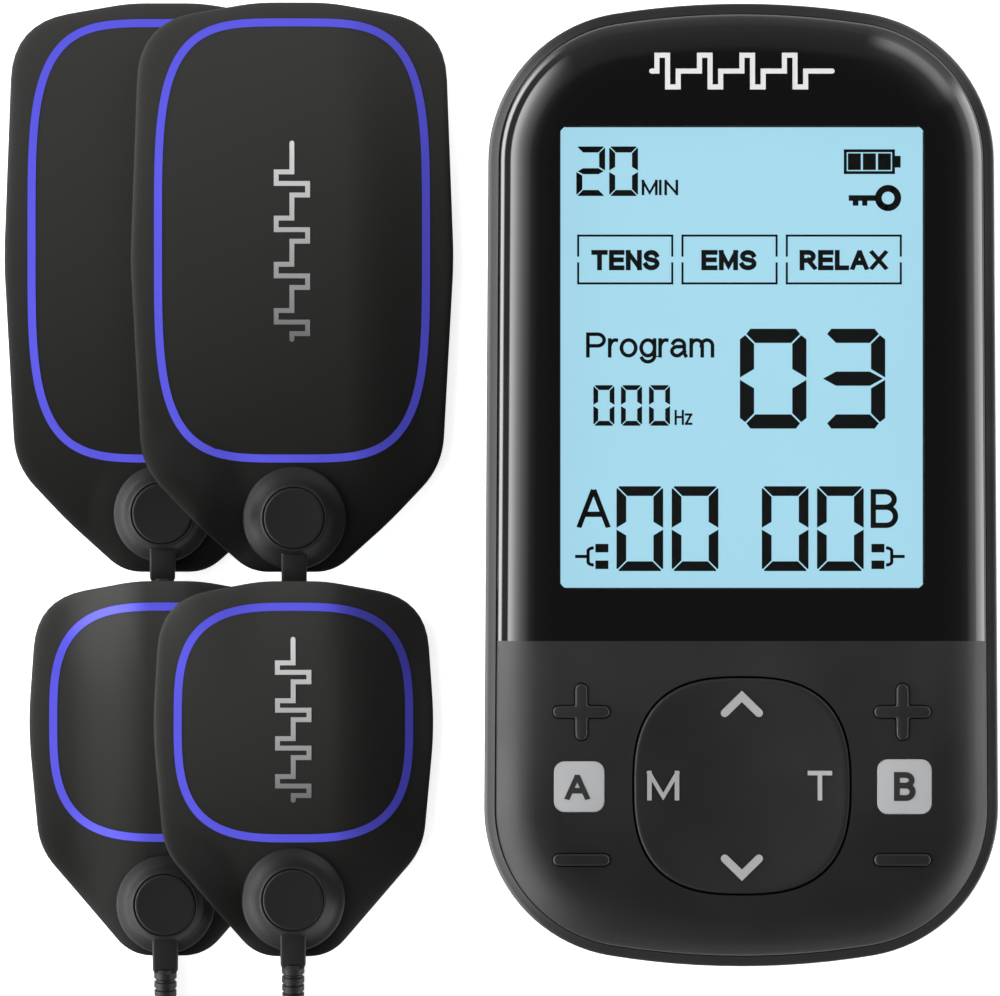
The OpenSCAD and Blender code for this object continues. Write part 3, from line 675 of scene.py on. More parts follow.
# Half width, half length and middle Y of each size of pad's crown
PAD_SIZES = {"large": (20.3, 35.6, 24.6), "small": (17.7, 23.5, -35.2)}


def fade(distance, inner, outer):
    """1 inside the inner distance, 0 beyond the outer one, and smooth between."""
    t = max(0.0, min(1.0, (outer - distance) / (outer - inner)))
    return t * t * (3 - 2 * t)


def from_stud(name, x, y):
    """The distance from the middle of a pad's stud."""
    stud = PADS[name]["stud"]
    return math.hypot(x - stud[0], y - stud[1])


def pad_height(name, x, y):
    """How high a pad's underside is carried by the pads, the connector and the wires it lies on."""
    if name == "large_back":
        return 0.0
    if name == "large_front":
        return 2.4 * fade(x, -48.5, -36.5) + 3.3 * fade(from_stud("large_back", x, y), 4.2, 11)
    tail = fade(-y, 14, 29)
    over_wire = 3 * tail * fade(abs(x + 71.7), 2, 13)
    if name == "small_back":
        return 2.1 * fade(abs(x + 71.5), 2, 12) + over_wire
    return (4.5 * fade(x, -50.5, -38.5) + 2.9 * tail * fade(abs(x + 55.4), 3, 17) + over_wire
            + 2.2 * fade(from_stud("small_back", x, y), 5, 10))


def pad_level(name, x, y):
    """The thickness of a pad: crowned across the cover, and full under its connector."""
    pad = PADS[name]
    half_w, half_l, mid = PAD_SIZES[name.split("_")[0]]
    u, v = (x - pad["x"]) / half_w, (y - mid) / half_l
    crown = max(0.0, 1 - u * u) * max(0.0, 1 - v * v)
    level = PAD_T - EDGE_DROP + (EDGE_DROP + 0.1) * crown
    seat = fade(from_stud(name, x, y), pad["base"] - 0.5, pad["base"] + 3.5)
    return level + (PAD_T + 0.1 - level) * seat


def rounded(corners, steps, spacing=2.5):
    """A closed outline from corners of (x, y, radius), evenly filled in along its straights."""
    points = []
    count = len(corners)
    for i, corner in enumerate(corners):
        here = Vector(corner[:2])
        before = Vector(corners[i - 1][:2]) - here
        after = Vector(corners[(i + 1) % count][:2]) - here
        half = before.angle(after) / 2
        reach = min(corner[2] / math.tan(half), 0.48 * min(before.length, after.length))
        a, b = here + before.normalized() * reach, here + after.normalized() * reach
        for k in range(steps + 1):
            t = k / steps
            points.append(a * (1 - t) ** 2 + here * 2 * t * (1 - t) + b * t ** 2)
    filled = []
    for i, point in enumerate(points):
        following = points[(i + 1) % len(points)]
        parts = max(1, round((following - point).length / spacing))
        filled += [tuple(point.lerp(following, k / parts)) for k in range(parts)]
    return filled


def inset_outline(outline, inset):
    """A closed outline, which runs anticlockwise, moved inwards along its normals."""
    moved = []
    for i, point in enumerate(outline):
        before, after = Vector(outline[i - 1]), Vector(outline[(i + 1) % len(outline)])
        along = (after - before).normalized()
        moved.append((point[0] - along.y * inset, point[1] + along.x * inset))
    return moved


def pad_outline(name):
    """A pad's outline, anticlockwise."""
    half = PADS[name]["half"]
    corners = [half[i] for i in reversed(range(len(half)))] + [(-x, y, r) for x, y, r in half]
    return shifted(rounded(corners, 8), PADS[name]["x"], 0)


def pad_ring(name, inset, shrink, level, crowned=False):
    """A ring on a pad: its outline moved in, then shrunk towards the middle, at a level above the
    pad's underside or, where it is crowned, above its top face."""
    pad = PADS[name]
    ring = []
    for x, y in inset_outline(pad_outline(name), inset):
        x, y = pad["x"] + (x - pad["x"]) * shrink, pad["mid"] + (y - pad["mid"]) * shrink
        base = pad_height(name, x, y) + (pad_level(name, x, y) if crowned else 0)
        ring.append((x, y, base + level))
    return ring


def pad_top(name, proud=0.0):
    """The surface of a pad's top face, or one that stands proud of it."""
    return lambda x, y: pad_height(name, x, y) + pad_level(name, x, y) + proud


INSIDE = [1 - 0.04 * i for i in range(1, 25)]       # the scales of the rings that fill a face
GEL_TOP = GEL_T - 0.03
# The cover's edge and gel's edge as (inset, height), and the cover's shoulder from its top face
COVER_EDGE = [(0.9, GEL_T), (0.35, GEL_T + 0.04), (0.08, GEL_T + 0.14), (0, GEL_T + 0.28)]
COVER_SHOULDER = [(0.06, -0.26), (0.25, -0.15), (0.6, -0.07), (1.1, -0.02), (1.8, 0)]
GEL_EDGE = [(1.25, 0.0), (0.98, 0.15), (0.92, 0.45), (1.0, GEL_TOP)]


def make_pads():
    """Each pad: a soft cover with a rolled edge over a thinner sheet of gel."""
    for name in PADS:
        rings = [pad_ring(name, 0.9, s, GEL_T) for s in reversed(INSIDE)]
        rings += [pad_ring(name, inset, 1, level) for inset, level in COVER_EDGE]
        rings += [pad_ring(name, inset, 1, level, True) for inset, level in COVER_SHOULDER]
        rings += [pad_ring(name, 1.8, s, 0, True) for s in INSIDE]
        cover = loft("cover_" + name, rings, "cover", sharp=60)
        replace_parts(cover, "pad_" + name)
        rings = [pad_ring(name, 1.25, s, 0) for s in reversed(INSIDE)]
        rings += [pad_ring(name, inset, 1, level) for inset, level in GEL_EDGE]
        rings += [pad_ring(name, 1.0, s, GEL_TOP) for s in INSIDE]
        gel = loft("gel_sheet_" + name, rings, "gel", sharp=60)
        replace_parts(gel, "gel_" + name)


def make_loops():
    """The coloured loop printed on each pad."""
    sunk, proud = -0.1, 0.05
    for name, pad in PADS.items():
        a, b, power, mid = LOOPS[name.split("_")[0]]
        centre = squircle(a - LOOP_W / 2, b - LOOP_W / 2, power, 240)
        inner, outer = (shifted(inset_outline(centre, side), pad["x"], mid)
                        for side in (LOOP_W / 2, -LOOP_W / 2))
        top = pad_top(name)
        rings = [[(x, y, top(x, y) + level) for x, y in outline]
                 for outline, level in ((outer, sunk), (outer, proud), (inner, proud), (inner, sunk))]
        band("loop_" + name, rings, "ring")


# ---- Press-stud connectors: (radius, height) from the pad's cover ----

BELL_UNDER = [(0.02, 1.95), (1.85, 1.95), (1.85, 1.32), (2.4, 1.3), (2.4, 0.8), (1.85, 0.78),
              (1.85, 0.2)]
# The foot's rounded edge and slope, with radii from the foot's own
BELL_FOOT = [(-0.3, 0.2), (-0.08, 0.27), (0, 0.4), (0, 0.66), (-0.07, 0.78), (-0.25, 0.9),
             (-0.6, 1.06), (-1.0, 1.3), (-1.35, 1.62)]
BELL_TOP = [(4.72, 1.98), (4.42, 2.35), (4.22, 2.65), (4.1, 2.8), (3.98, 2.86), (3.86, 2.84),
            (3.8, 2.75), (3.8, 2.42), (0.02, 2.4)]
CAP = [(0.02, 2.42), (3.55, 2.42), (3.72, 2.5), (3.75, 2.82), (3.7, 2.93), (3.58, 2.985), (3.42, 3.0),
       (3.2, 2.985), (2.9, 2.975), (0.02, 2.97)]
# The neck's rings: distance towards the wire, half width, lowest and highest
NECK = ((3.4, 1.5, 0.25, 1.9), (3.75, 1.62, 0.2, 2.14), (8.05, 1.56, 0.2, 2.08),
        (8.3, 1.45, 0.3, 1.98))


def make_connectors():
    """Bell-shaped connectors with a flat cap let into the top and a flat neck towards the wire."""
    neck = []
    for y, half_w, low, high in NECK:
        ring = rounded_box(2 * half_w, high - low, 0.3, 4)
        neck.append([(u, -y, (high + low) / 2 + v) for u, v in ring])
    for name, pad in PADS.items():
        seat = Vector((*pad["stud"], pad["lift"] + PAD_T + 0.05))
        bell = BELL_UNDER + [(pad["base"] + r, z) for r, z in BELL_FOOT] + BELL_TOP
        solids = [placed(turned(bell, 96), seat), placed(neck, seat)]
        piece = joined("connector_" + name, solids, "connector", sharp=30)
        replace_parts(piece, "snap_" + name)
        piece = loft("cap_" + name, placed(turned(CAP, 96), seat), "connector", sharp=50)
        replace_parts(piece, "snap_caps")


# ---- Controller ----

def unit_rings(levels, part=0):
    """Rings of the controller's outline at (inset, height) levels."""
    return [at_height(unit_outline(inset, part), z) for inset, z in levels]


SCREWS = [(-18, 50.2), (18, 50.2), (-18, -51), (18, -51)]
JACK_X = 9.0
PORT_Z = 8.5
# The tub's wall as (inset, height): up the outside, over the rim and down to the floor inside
TUB = [(2.6, 0), (1.75, 0.1), (1.05, 0.45), (0.5, 1.05), (0.15, 2.0), (0, 3.4), (0, RIM_Z - 1.0),
       (0.02, RIM_Z - 0.66), (0.07, RIM_Z - 0.52), (0.16, RIM_Z - 0.45), (0.5, RIM_Z - 0.32),
       (0.9, RIM_Z - 0.16), (RIM_W - 0.08, RIM_Z), (RIM_W - 0.02, RIM_Z - 0.04),
       (RIM_W, RIM_Z - 0.2), (RIM_W, LEDGE_Z), (2.2, 15.3), (2.2, 2.2), (2.7, 1.8)]
# The screws' wells and posts and the jacks' mouths, as (radius, height)
SCREW_WELL = [(2.2, -1), (2.2, 2.2), (1.25, 2.25), (1.25, 9)]
SCREW_POST = [(2.8, 1.78), (2.8, 12.95), (1.3, 12.95), (1.3, 3.3), (1.3, 1.78)]
JACK_MOUTH = [(2.7, 0), (2.7, 7.6), (3.6, 8.9), (4.0, 12)]
PORT_MOUTH = ((50, 0), (58.9, 0), (59.6, 0.5), (62, 0.8))       # (depth, how much wider)


def make_rear_shell():
    """The tub: a rolled lower edge, a sloping rim, a ledge inside and openings at both ends."""
    shell = loft("shell", unit_rings(TUB), "shell")
    cutters = [cutter(placed(turned(SCREW_WELL, 40), (x, y, 0))) for x, y in SCREWS]
    cutters += [cutter(placed(turned(JACK_MOUTH, 48), (x, 50, PORT_Z), (0, 1, 0)))
                for x in (-JACK_X, JACK_X)]
    slot = []
    for y, grow in PORT_MOUTH:
        outline = rounded_box(9.6 + 2 * grow, 3.8 + 2 * grow, 1.9 + grow - 0.01)
        slot.append([(x, -y, PORT_Z + z) for x, z in outline])
    cut(shell, cutters + [cutter(slot)])
    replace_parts(shell, "rear_shell")
    solids = [placed(turned(SCREW_POST, 32), (x, y, 0)) for x, y in SCREWS]
    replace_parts(joined("shell_posts", solids, "shell"), "rear_shell")


# The slope of the front's shoulder, in degrees, at distances from its edge
SHOULDER = [(0.0, 45.0), (0.5, 41.0), (0.68, 38.9), (1.22, 37.0), (1.42, 34.0), (3.0, 21.0),
            (4.9, 8.0), (7.3, 0.0)]
SHOULDER_STEPS = 60


def shoulder_slope(distance):
    """The slope of the shoulder at a distance from the front's edge, in radians."""
    for (d0, a0), (d1, a1) in zip(SHOULDER, SHOULDER[1:]):
        if distance <= d1:
            return math.radians(a0 + (a1 - a0) * (distance - d0) / (d1 - d0))
    return 0.0


def crown_levels():
    """(inset, height) levels of the front's rounded shoulder, from its foot up to the flat top."""
    base = RIM_W + 0.08         # the foot stands clear of the rim
    step = SHOULDER[-1][0] / SHOULDER_STEPS
    levels = [(base + SHOULDER[-1][0], UNIT_T)]
    for i in reversed(range(SHOULDER_STEPS)):
        inset, z = levels[-1]
        levels.append((base + step * i, z - step * math.tan(shoulder_slope(step * (i + 0.5)))))
    edge = levels[-1][1]
    return [(base, LEDGE_Z + 0.05), (base, edge - 0.1), (base + 0.02, edge - 0.03)] + levels[-2::-1]


KEY_LENGTH = 7.0
KEY_W = 1.5


def key_outline(plus, grow):
    """A minus or a plus with round ends, larger all round by grow."""
    reach, r = (KEY_LENGTH - KEY_W) / 2, KEY_W / 2 + grow
    if not plus:
        return arc(reach, 0, r, -90, 90, 10) + arc(-reach, 0, r, 90, 270, 10)
    outline = []
    for turn in range(4):
        c, s = math.cos(turn * math.pi / 2), math.sin(turn * math.pi / 2)
        arm = arc(reach, 0, r, -90, 90, 10) + [(r + 0.25, r), (r + 0.07, r + 0.07), (r, r + 0.25)]
        outline += [(x * c - y * s, x * s + y * c) for x, y in arm]
    return outline


# Each key's middle, and whether it is a plus; each badge's middle and width
KEYS = {
    "key_a_plus": (-19.75, -27.9, True), "key_a_minus": (-19.75, -46.1, False),
    "key_b_plus": (19.75, -27.9, True), "key_b_minus": (19.75, -46.1, False),
}
BADGES = {"a": (-20.0, -37.1, 6.4), "b": (20.0, -37.1, 6.9)}
BADGE_R = 1.4
BADGE_FLOOR = UNIT_T - 0.55
DPAD_HALF = 13.3
DPAD_POWER = 2.7
KEY_GAP = 0.11
DPAD_GAP = 0.21         # wider, because the key rocks in it


FRONT_WALL = 3.55       # how far the hollow under the front is inset
FRONT_UNDERSIDE = 19.45
WINDOW_R = 1.3


def make_front():
    """The gloss screen panel and the matte keypad panel, which meet at the seam."""
    def opening(outline, middle, floor=19):
        return prism(shifted(outline, *middle), floor, 22)

    def panel(name, part, material, node, openings):
        piece = loft(name, unit_rings(crown_levels(), part), material, sharp=45)
        cut(piece, [prism(unit_outline(FRONT_WALL), 10, FRONT_UNDERSIDE)] + openings)
        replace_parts(piece, node)

    window = rounded_box(WINDOW_HI.x - WINDOW_LO.x + 0.1, WINDOW_HI.y - WINDOW_LO.y + 0.1, WINDOW_R)
    panel("front_gloss", 1, "gloss", "screen_panel", [opening(window, WINDOW_MID.xy)])
    hole = squircle(DPAD_HALF + DPAD_GAP, DPAD_HALF + DPAD_GAP, DPAD_POWER)
    openings = [opening(hole, DPAD_MID.xy)]
    openings += [opening(key_outline(plus, KEY_GAP), (x, y)) for x, y, plus in KEYS.values()]
    openings += [opening(rounded_box(w, w, BADGE_R), (x, y), BADGE_FLOOR) for x, y, w in BADGES.values()]
    panel("front_matte", -1, "panel", "keypad_panel", openings)


KEY_TOP = UNIT_T + 0.3
# A key's (growth, height): a flange below, straight sides and a rounded top edge
KEY_LEVELS = [(0.6, 17.05), (0.6, 17.65), (0, 17.7), (0, KEY_TOP - 0.25), (-0.05, KEY_TOP - 0.1),
              (-0.14, KEY_TOP - 0.03), (-0.28, KEY_TOP)]
# The four-way key's rim as (scale, height), up from its flange
DPAD_FLANGE = (DPAD_HALF + 1) / DPAD_HALF
DPAD_LEVELS = [(DPAD_FLANGE, 17.1), (DPAD_FLANGE, 17.5), (1, 17.5), (1, UNIT_T - 0.3),
               (0.996, UNIT_T - 0.12), (0.985, UNIT_T - 0.03), (0.97, UNIT_T), (0.95, UNIT_T - 0.01),
               (0.93, UNIT_T - 0.04)]


def make_keys():
    """The channel keys, which stand just proud."""
    for node, (x, y, plus) in KEYS.items():
        rings = [at_height(shifted(key_outline(plus, grow), x, y), z) for grow, z in KEY_LEVELS]
        piece = loft(node + "_cap", rings, "key", body=node, sharp=50)
        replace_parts(piece, node)


def dish(x, y):
    """The height of the four-way key's dished face."""
    u, v = abs(x - DPAD_MID.x) / DPAD_HALF, abs(y - DPAD_MID.y) / DPAD_HALF
    reach = (u ** DPAD_POWER + v ** DPAD_POWER) ** (1 / DPAD_POWER)
    return UNIT_T - 0.06 - 0.72 * (1 - min(reach / 0.92, 1) ** 2)


def make_dpad():
    """The four-way key: a narrow raised rim round a shallow dish."""
    def outline(scale):
        half = DPAD_HALF * scale
        return shifted(squircle(half, half, DPAD_POWER, 160), DPAD_MID.x, DPAD_MID.y)
    rings = [at_height(outline(scale), z) for scale, z in DPAD_LEVELS]
    scales = [0.9 - 0.04 * i for i in range(22)] + [0.01]
    rings += [[(x, y, dish(x, y)) for x, y in outline(scale)] for scale in scales]
    piece = loft("dpad_face", rings, "key", body="dpad", sharp=50)
    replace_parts(piece, "dpad_cap")


def make_badges():
    """The two light inlays that name the channels."""
    levels = [(0.05, BADGE_FLOOR), (0.05, UNIT_T - 0.12), (0.1, UNIT_T - 0.05), (0.22, UNIT_T - 0.03)]
    for side, (x, y, w) in BADGES.items():
        rings = [at_height(shifted(rounded_box(w - 2 * inset, w - 2 * inset, BADGE_R - inset), x, y), z)
                 for inset, z in levels]
        piece = loft("badge_" + side, rings, "badge", sharp=50)
        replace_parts(piece, "channel_badges")


# ---- Printed marks ----

def solid_shape(outline, surface, thick):
    """A thin closed solid of one outline, laid on a surface: points and faces."""
    n = len(outline)
    points = [(x, y, surface(x, y) + level) for level in (0, thick) for x, y in outline]
    triangles = tessellate_polygon([[Vector((x, y, 0)) for x, y in outline]])
    faces = [tuple(t) for t in triangles] + [tuple(i + n for i in reversed(t)) for t in triangles]
    faces += [(i, (i + 1) % n, n + (i + 1) % n, n + i) for i in range(n)]
    return points, faces


def print_marks(name, shapes, material, body="unit"):
    """One piece from several shapes."""
    points, faces = [], []
    for shape_points, shape_faces in shapes:
        start = len(points)
        points += shape_points
        faces += [tuple(i + start for i in face) for face in shape_faces]
    return link_mesh(name, points, faces, material, body)


def stroke(path, width, steps=6):
    """The outline of a line drawn through points, with mitred corners and round ends, or, for no
    steps, square ends."""
    half = width / 2
    left, right = [], []
    for i, point in enumerate(path):
        here = Vector(point)
        ways = []
        if i:
            ways.append((here - Vector(path[i - 1])).normalized())
        if i < len(path) - 1:
            ways.append((Vector(path[i + 1]) - here).normalized())
        way = sum(ways, Vector((0, 0))).normalized()
        normal = Vector((-way.y, way.x))
        first = Vector((-ways[0].y, ways[0].x))
        reach = half / max(normal.dot(first), 0.3)
        left.append(tuple(here + normal * reach))
        right.append(tuple(here - normal * reach))
    if not steps:
        return right + left[::-1]
    start, end = Vector(path[0]), Vector(path[-1])
    out = math.degrees(math.atan2(*(end - Vector(path[-2])).yx))
    back = math.degrees(math.atan2(*(start - Vector(path[1])).yx))
    tip = arc(end.x, end.y, half, out - 90, out + 90, steps)
    tail = arc(start.x, start.y, half, back - 90, back + 90, steps)
    return right[1:-1] + tip + left[-2:0:-1] + tail


def flat_at(z):
    """A flat surface at a height."""
    return lambda x, y: z


INK = 0.04              # thickness of the print


def oval(cx, cy, rx, ry, start, end):
    """An arc of an ellipse, from one angle to another."""
    return [(cx + rx * u, cy + ry * v) for u, v in arc(0, 0, 1, start, end, 16)]


def bowl(top, low, reach=1.0):
    """The round side of a B, P or R."""
    r = (top - low) / 2
    return [(0, top)] + oval(reach - 0.42, top - r, 0.42, r, 90, -90) + [(0, low)]


STEM = [(0, 0), (0, 1)]
FAR_STEM = [(1, 0), (1, 1)]
X_HEIGHT = 0.73          # of the small letters
ARCH = oval(0.26, 0.46, 0.26, X_HEIGHT - 0.46, 180, 0)
ROUND = [oval(0.5, X_HEIGHT / 2, 0.5, X_HEIGHT / 2, a, a + 180) for a in (0, 180)]
# Each letter's width, and its strokes in a box one wide and one high
GLYPHS = {
    "A": (0.93, [[(0, 0), (0.46, 1)], [(0.54, 1), (1, 0)], [(0.2, 0.33), (0.8, 0.33)]]),
    "B": (0.76, [STEM, bowl(1, 0.54, 0.94), bowl(0.54, 0)]),
    "E": (0.74, [[(1, 1), (0, 1), (0, 0), (1, 0)], [(0, 0.52), (0.93, 0.52)]]),
    "H": (0.78, [STEM, FAR_STEM, [(0, 0.53), (1, 0.53)]]),
    "I": (0.1, [STEM]),
    "L": (0.66, [[(0, 1), (0, 0), (1, 0)]]),
    "M": (0.93, [STEM, FAR_STEM, [(0, 1.0), (0.5, 0.03), (1, 1.0)]]),
    "N": (0.78, [STEM, FAR_STEM, [(0.02, 1), (0.98, 0)]]),
    "P": (0.78, [STEM, bowl(1, 0.46)]),
    "R": (0.86, [STEM, bowl(1, 0.48, 0.92), [(0.5, 0.5), (1, 0)]]),
    "S": (0.80, [oval(0.5, 0.76, 0.45, 0.24, 15, 235) + oval(0.5, 0.265, 0.5, 0.265, 50, -165)]),
    "T": (0.80, [[(0, 1), (1, 1)], [(0.5, 0), (0.5, 1)]]),
    "X": (0.90, [[(0, 0), (1, 1)], [(0, 1), (1, 0)]]),
    "a": (0.66, [oval(0.48, 0.5, 0.42, X_HEIGHT - 0.5, 160, 0) + [(0.9, 0.12), (1, 0)],
                 [(0.9, 0.43)] + oval(0.38, 0.21, 0.38, 0.21, 80, 290) + [(0.9, 0.2)]]),
    "g": (0.64, ROUND + [[(1, X_HEIGHT), (1, 0)] + oval(0.5, 0, 0.5, 0.28, 0, -155)]),
    "m": (1.02, [[(0, 0), (0, X_HEIGHT)], ARCH + [(0.52, 0)],
                 [(x + 0.48, y) for x, y in ARCH] + [(1, 0)]]),
    "o": (0.68, ROUND),
    "r": (0.30, [[(0, 0), (0, X_HEIGHT)], oval(0.9, 0.36, 0.9, X_HEIGHT - 0.36, 180, 80)]),
    "z": (0.58, [[(0, X_HEIGHT), (1, X_HEIGHT)], [(0, 0), (1, 0)],
                 [(0.1, 0.05), (0.9, X_HEIGHT - 0.05)]]),
}
LETTER_GAP = 0.09
STROKE_STEP = 0.004     # strokes that cross differ in height, so that no two faces coincide


def letters(text, box, pen, surface):
    """Plain lettering drawn with a square pen, its capitals filling a box (x0, x1, y0, y1)."""
    x0, x1, y0, y1 = box
    widths = [GLYPHS[letter][0] for letter in text]
    unit = (x1 - x0 - pen * len(text)) / (sum(widths) + LETTER_GAP * (len(text) - 1))
    low = y0 - 0.3 * (y1 - y0) if "g" in text else y0
    shapes = []
    left = x0 + pen / 2
    for letter in text:
        width, strokes = GLYPHS[letter]
        for line in strokes:
            path = [Vector((left + u * width * unit, y0 + pen / 2 + v * (y1 - y0 - pen)))
                    for u, v in line]
            path[0] += (path[0] - path[1]).normalized() * pen / 2
            path[-1] += (path[-1] - path[-2]).normalized() * pen / 2
            outline = [(x, min(max(y, low), y1)) for x, y in stroke(path, pen, 0)]
            shapes.append(solid_shape(outline, surface, INK + STROKE_STEP * (len(shapes) % 4)))
        left += (width + LETTER_GAP) * unit + pen
    return shapes


def make_dpad_legends():
    """Two chevrons and the letters M and T, printed in the dish."""
    def top(x, y):
        return dish(x, y) + 0.03
    x0, y0 = DPAD_MID.x, DPAD_MID.y
    shapes = []
    for side in (1, -1):
        path = [(x0 - 2.1, y0 + side * 8.95), (x0, y0 + side * 11.0), (x0 + 2.1, y0 + side * 8.95)]
        shapes.append(solid_shape(stroke(path, 1.0), top, INK))
    shapes += letters("M", (x0 - 11.65, x0 - 7.7, y0 - 1.8, y0 + 1.85), 0.56, top)
    shapes += letters("T", (x0 + 8.1, x0 + 11.1, y0 - 1.8, y0 + 1.85), 0.56, top)
    print_marks("dpad_legends", shapes, "legend", "dpad")


def make_badge_letters():
    """The channel letters on the badges."""
    top = flat_at(UNIT_T - 0.035)
    shapes = letters("A", (-21.75, -18.75, -38.75, -35.6), 0.68, top)
    shapes += letters("B", (18.7, 21.35, -38.85, -35.3), 0.72, top)
    print_marks("badge_letters", shapes, "badge_letter")


def pulse_path(length, height, count):
    """A train of square pulses that swing both ways, along X from 0 to length."""
    step = length / (4 * count + 1)
    path = [(0, 0)]
    x = step / 2
    for _ in range(count):
        path += [(x, 0), (x, height), (x + step, height), (x + step, -height),
                 (x + 2 * step, -height), (x + 2 * step, 0)]
        x += 4 * step
    return path + [(length, 0)]


def make_motifs():
    """A plain pulse train on the bezel and, upright, on the two front pads."""
    path = [(x - 11.1 + DPAD_MID.x, y + 50.9) for x, y in pulse_path(22.2, 1.95, 4)]
    shape = solid_shape(stroke(path, 0.62), flat_at(UNIT_T - 0.01), INK)
    print_marks("bezel_motif", [shape], "mark")
    for name, y0, length in (("large_front", 18.1, 24.4), ("small_front", -39.1, 20.0)):
        path = [(PADS[name]["x"] + v, y0 + u) for u, v in pulse_path(length, 1.95, 4)]
        shape = solid_shape(stroke(path, 0.6), pad_top(name, 0.01), INK)
        print_marks("motif_" + name, [shape], "pad_mark")


# ---- Screen contents ----

LIT_SEGMENTS = {"0": "abcdef", "2": "abged", "3": "abgcd"}


def digit(character, x0, x1, y0, y1, w, chamfer):
    """The lit segments of one seven-segment digit, as outlines. w is how wide a segment is."""
    half_w, half_h, gap = (x1 - x0) / 2, (y1 - y0) / 2, 0.05 + 0.05 * w
    tip = [(half_w - chamfer, half_h), (half_w - chamfer / 2 - gap, half_h - chamfer / 2),
           (half_w - w - gap, half_h - w)]
    top = [(-x, y) for x, y in reversed(tip)] + tip
    side = [(half_w, half_h - chamfer), (half_w - chamfer / 2, half_h - chamfer / 2 - gap),
            (half_w - w, half_h - w - gap), (half_w - w, w * 0.6 + gap), (half_w, gap)]
    point = [(half_w - w - gap, w / 2), (half_w - 2 * gap, 0), (half_w - w - gap, -w / 2)]
    middle = point + [(-x, -y) for x, y in point]
    segments = {"a": (top, 1, 1), "b": (side, 1, 1), "c": (side, 1, -1), "d": (top, 1, -1),
                "e": (side, -1, -1), "f": (side, -1, 1), "g": (middle, 1, 1)}
    return [[((x0 + x1) / 2 + x * u, (y0 + y1) / 2 + y * v) for x, y in outline]
            for outline, u, v in (segments[letter] for letter in LIT_SEGMENTS[character])]


def bar(x0, x1, y0, y1):
    """A rectangle."""
    return [(x0, y0), (x1, y0), (x1, y1), (x0, y1)]


def mode_box(x0, x1):
    """A mode's box, whose two sides are broken at the middle."""
    y0, y1, w, half_gap = 24.7, 30.85, 0.26, 0.35
    mid = (y0 + y1) / 2
    outlines = [bar(x0, x1, y1 - w, y1), bar(x0, x1, y0, y0 + w)]
    for x in (x0, x1 - w):
        outlines += [bar(x, x + w, y0, mid - half_gap), bar(x, x + w, mid + half_gap, y1)]
    return outlines


def battery_shape():
    """A battery with three bars and its nub."""
    x0, x1, y0, y1, w = 12.6, 18.9, 38.3, 41.35, 0.36
    outlines = [bar(x0, x1, y1 - w, y1), bar(x0, x1, y0, y0 + w), bar(x0, x0 + w, y0, y1),
                bar(x1 - w, x1, y0, y1), bar(x1, 19.6, 39.1, 40.55)]
    return outlines + [bar(x, x + 1.6, 38.8, 40.85) for x in (13.1, 14.95, 16.8)]


def key_lock_shape():
    """A key lying on its side: a ring for its bow, a shaft and two teeth."""
    outer, inner = (arc(18.05, 35.35, r, 0, 360, 28) for r in (1.62, 0.78))
    outlines = [[outer[i], outer[i + 1], inner[i + 1], inner[i]] for i in range(28)]
    return outlines + [bar(13.2, 16.6, 35.0, 35.7), bar(13.7, 14.4, 34.4, 35.1),
                       bar(14.85, 15.5, 34.4, 35.1)]


def lead_shape(x, side):
    """A lead that splits into two plugs, its tail pointing to one side."""
    y = -8.8
    bits = [bar(0, 1.5, y - 0.2, y + 0.2), bar(1.4, 1.8, y - 0.7, y + 0.7),
            stroke(oval(2.3, y + 0.65, 0.7, 0.4, 180, 90), 0.4, 0),
            stroke(oval(2.3, y - 0.65, 0.7, 0.4, 180, 270), 0.4, 0),
            bar(2.5, 4.1, y + 0.5, y + 1.55), bar(2.5, 4.1, y - 1.55, y - 0.5)]
    return [[(x + side * u, v) for u, v in bit] for bit in bits]


def make_lcd_contents():
    """Everything the screen shows: dark segments just above the lit glass."""
    top = flat_at(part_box("lcd_glass")[1][2] / MM + 0.02)
    outlines = []
    for text, spots, y0, y1, width, chamfer in (
            ("20", ((-20.35, -16.8), (-16.3, -12.75)), 35.6, 41.7, 0.74, 0.2),
            ("000", ((-18.25, -15.65), (-14.85, -12.25), (-11.4, -8.8)), 7.3, 12.3, 0.6, 0.2),
            ("03", ((-0.2, 8.0), (9.75, 17.7)), 6.95, 19.25, 1.75, 1.3),
            ("00", ((-15.4, -9.65), (-8.6, -2.85)), -10.6, -0.15, 1.2, 0.3),
            ("00", ((2.5, 8.25), (9.3, 15.05)), -10.6, -0.15, 1.2, 0.3)):
        for character, (x0, x1) in zip(text, spots):
            outlines += digit(character, x0, x1, y0, y1, width, chamfer)
    outlines += mode_box(-20.25, -8.4) + mode_box(-7.4, 4.45) + mode_box(5.45, 19.75)
    outlines += battery_shape() + key_lock_shape() + lead_shape(-20.5, 1) + lead_shape(20.1, -1)
    shapes = [solid_shape(outline, top, INK) for outline in outlines]
    for text, box, pen in (
            ("MIN", (-12.3, -7.8, 35.7, 37.6), 0.33), ("TENS", (-18.5, -10.1, 26.45, 28.95), 0.6),
            ("EMS", (-4.95, 1.85, 26.45, 28.95), 0.6), ("RELAX", (7.15, 18.0, 26.45, 28.95), 0.6),
            ("Program", (-19.15, -3.35, 15.7, 18.8), 0.45), ("Hz", (-8.25, -6.05, 7.4, 9.25), 0.28),
            ("A", (-20.25, -16.2, -5.3, -0.5), 0.66), ("B", (15.9, 19.3, -5.3, -0.5), 0.66)):
        shapes += letters(text, box, pen, top)
    print_marks("lcd_segments", shapes, "segment")


# ---- Finishes of the CAD pieces that stay ----

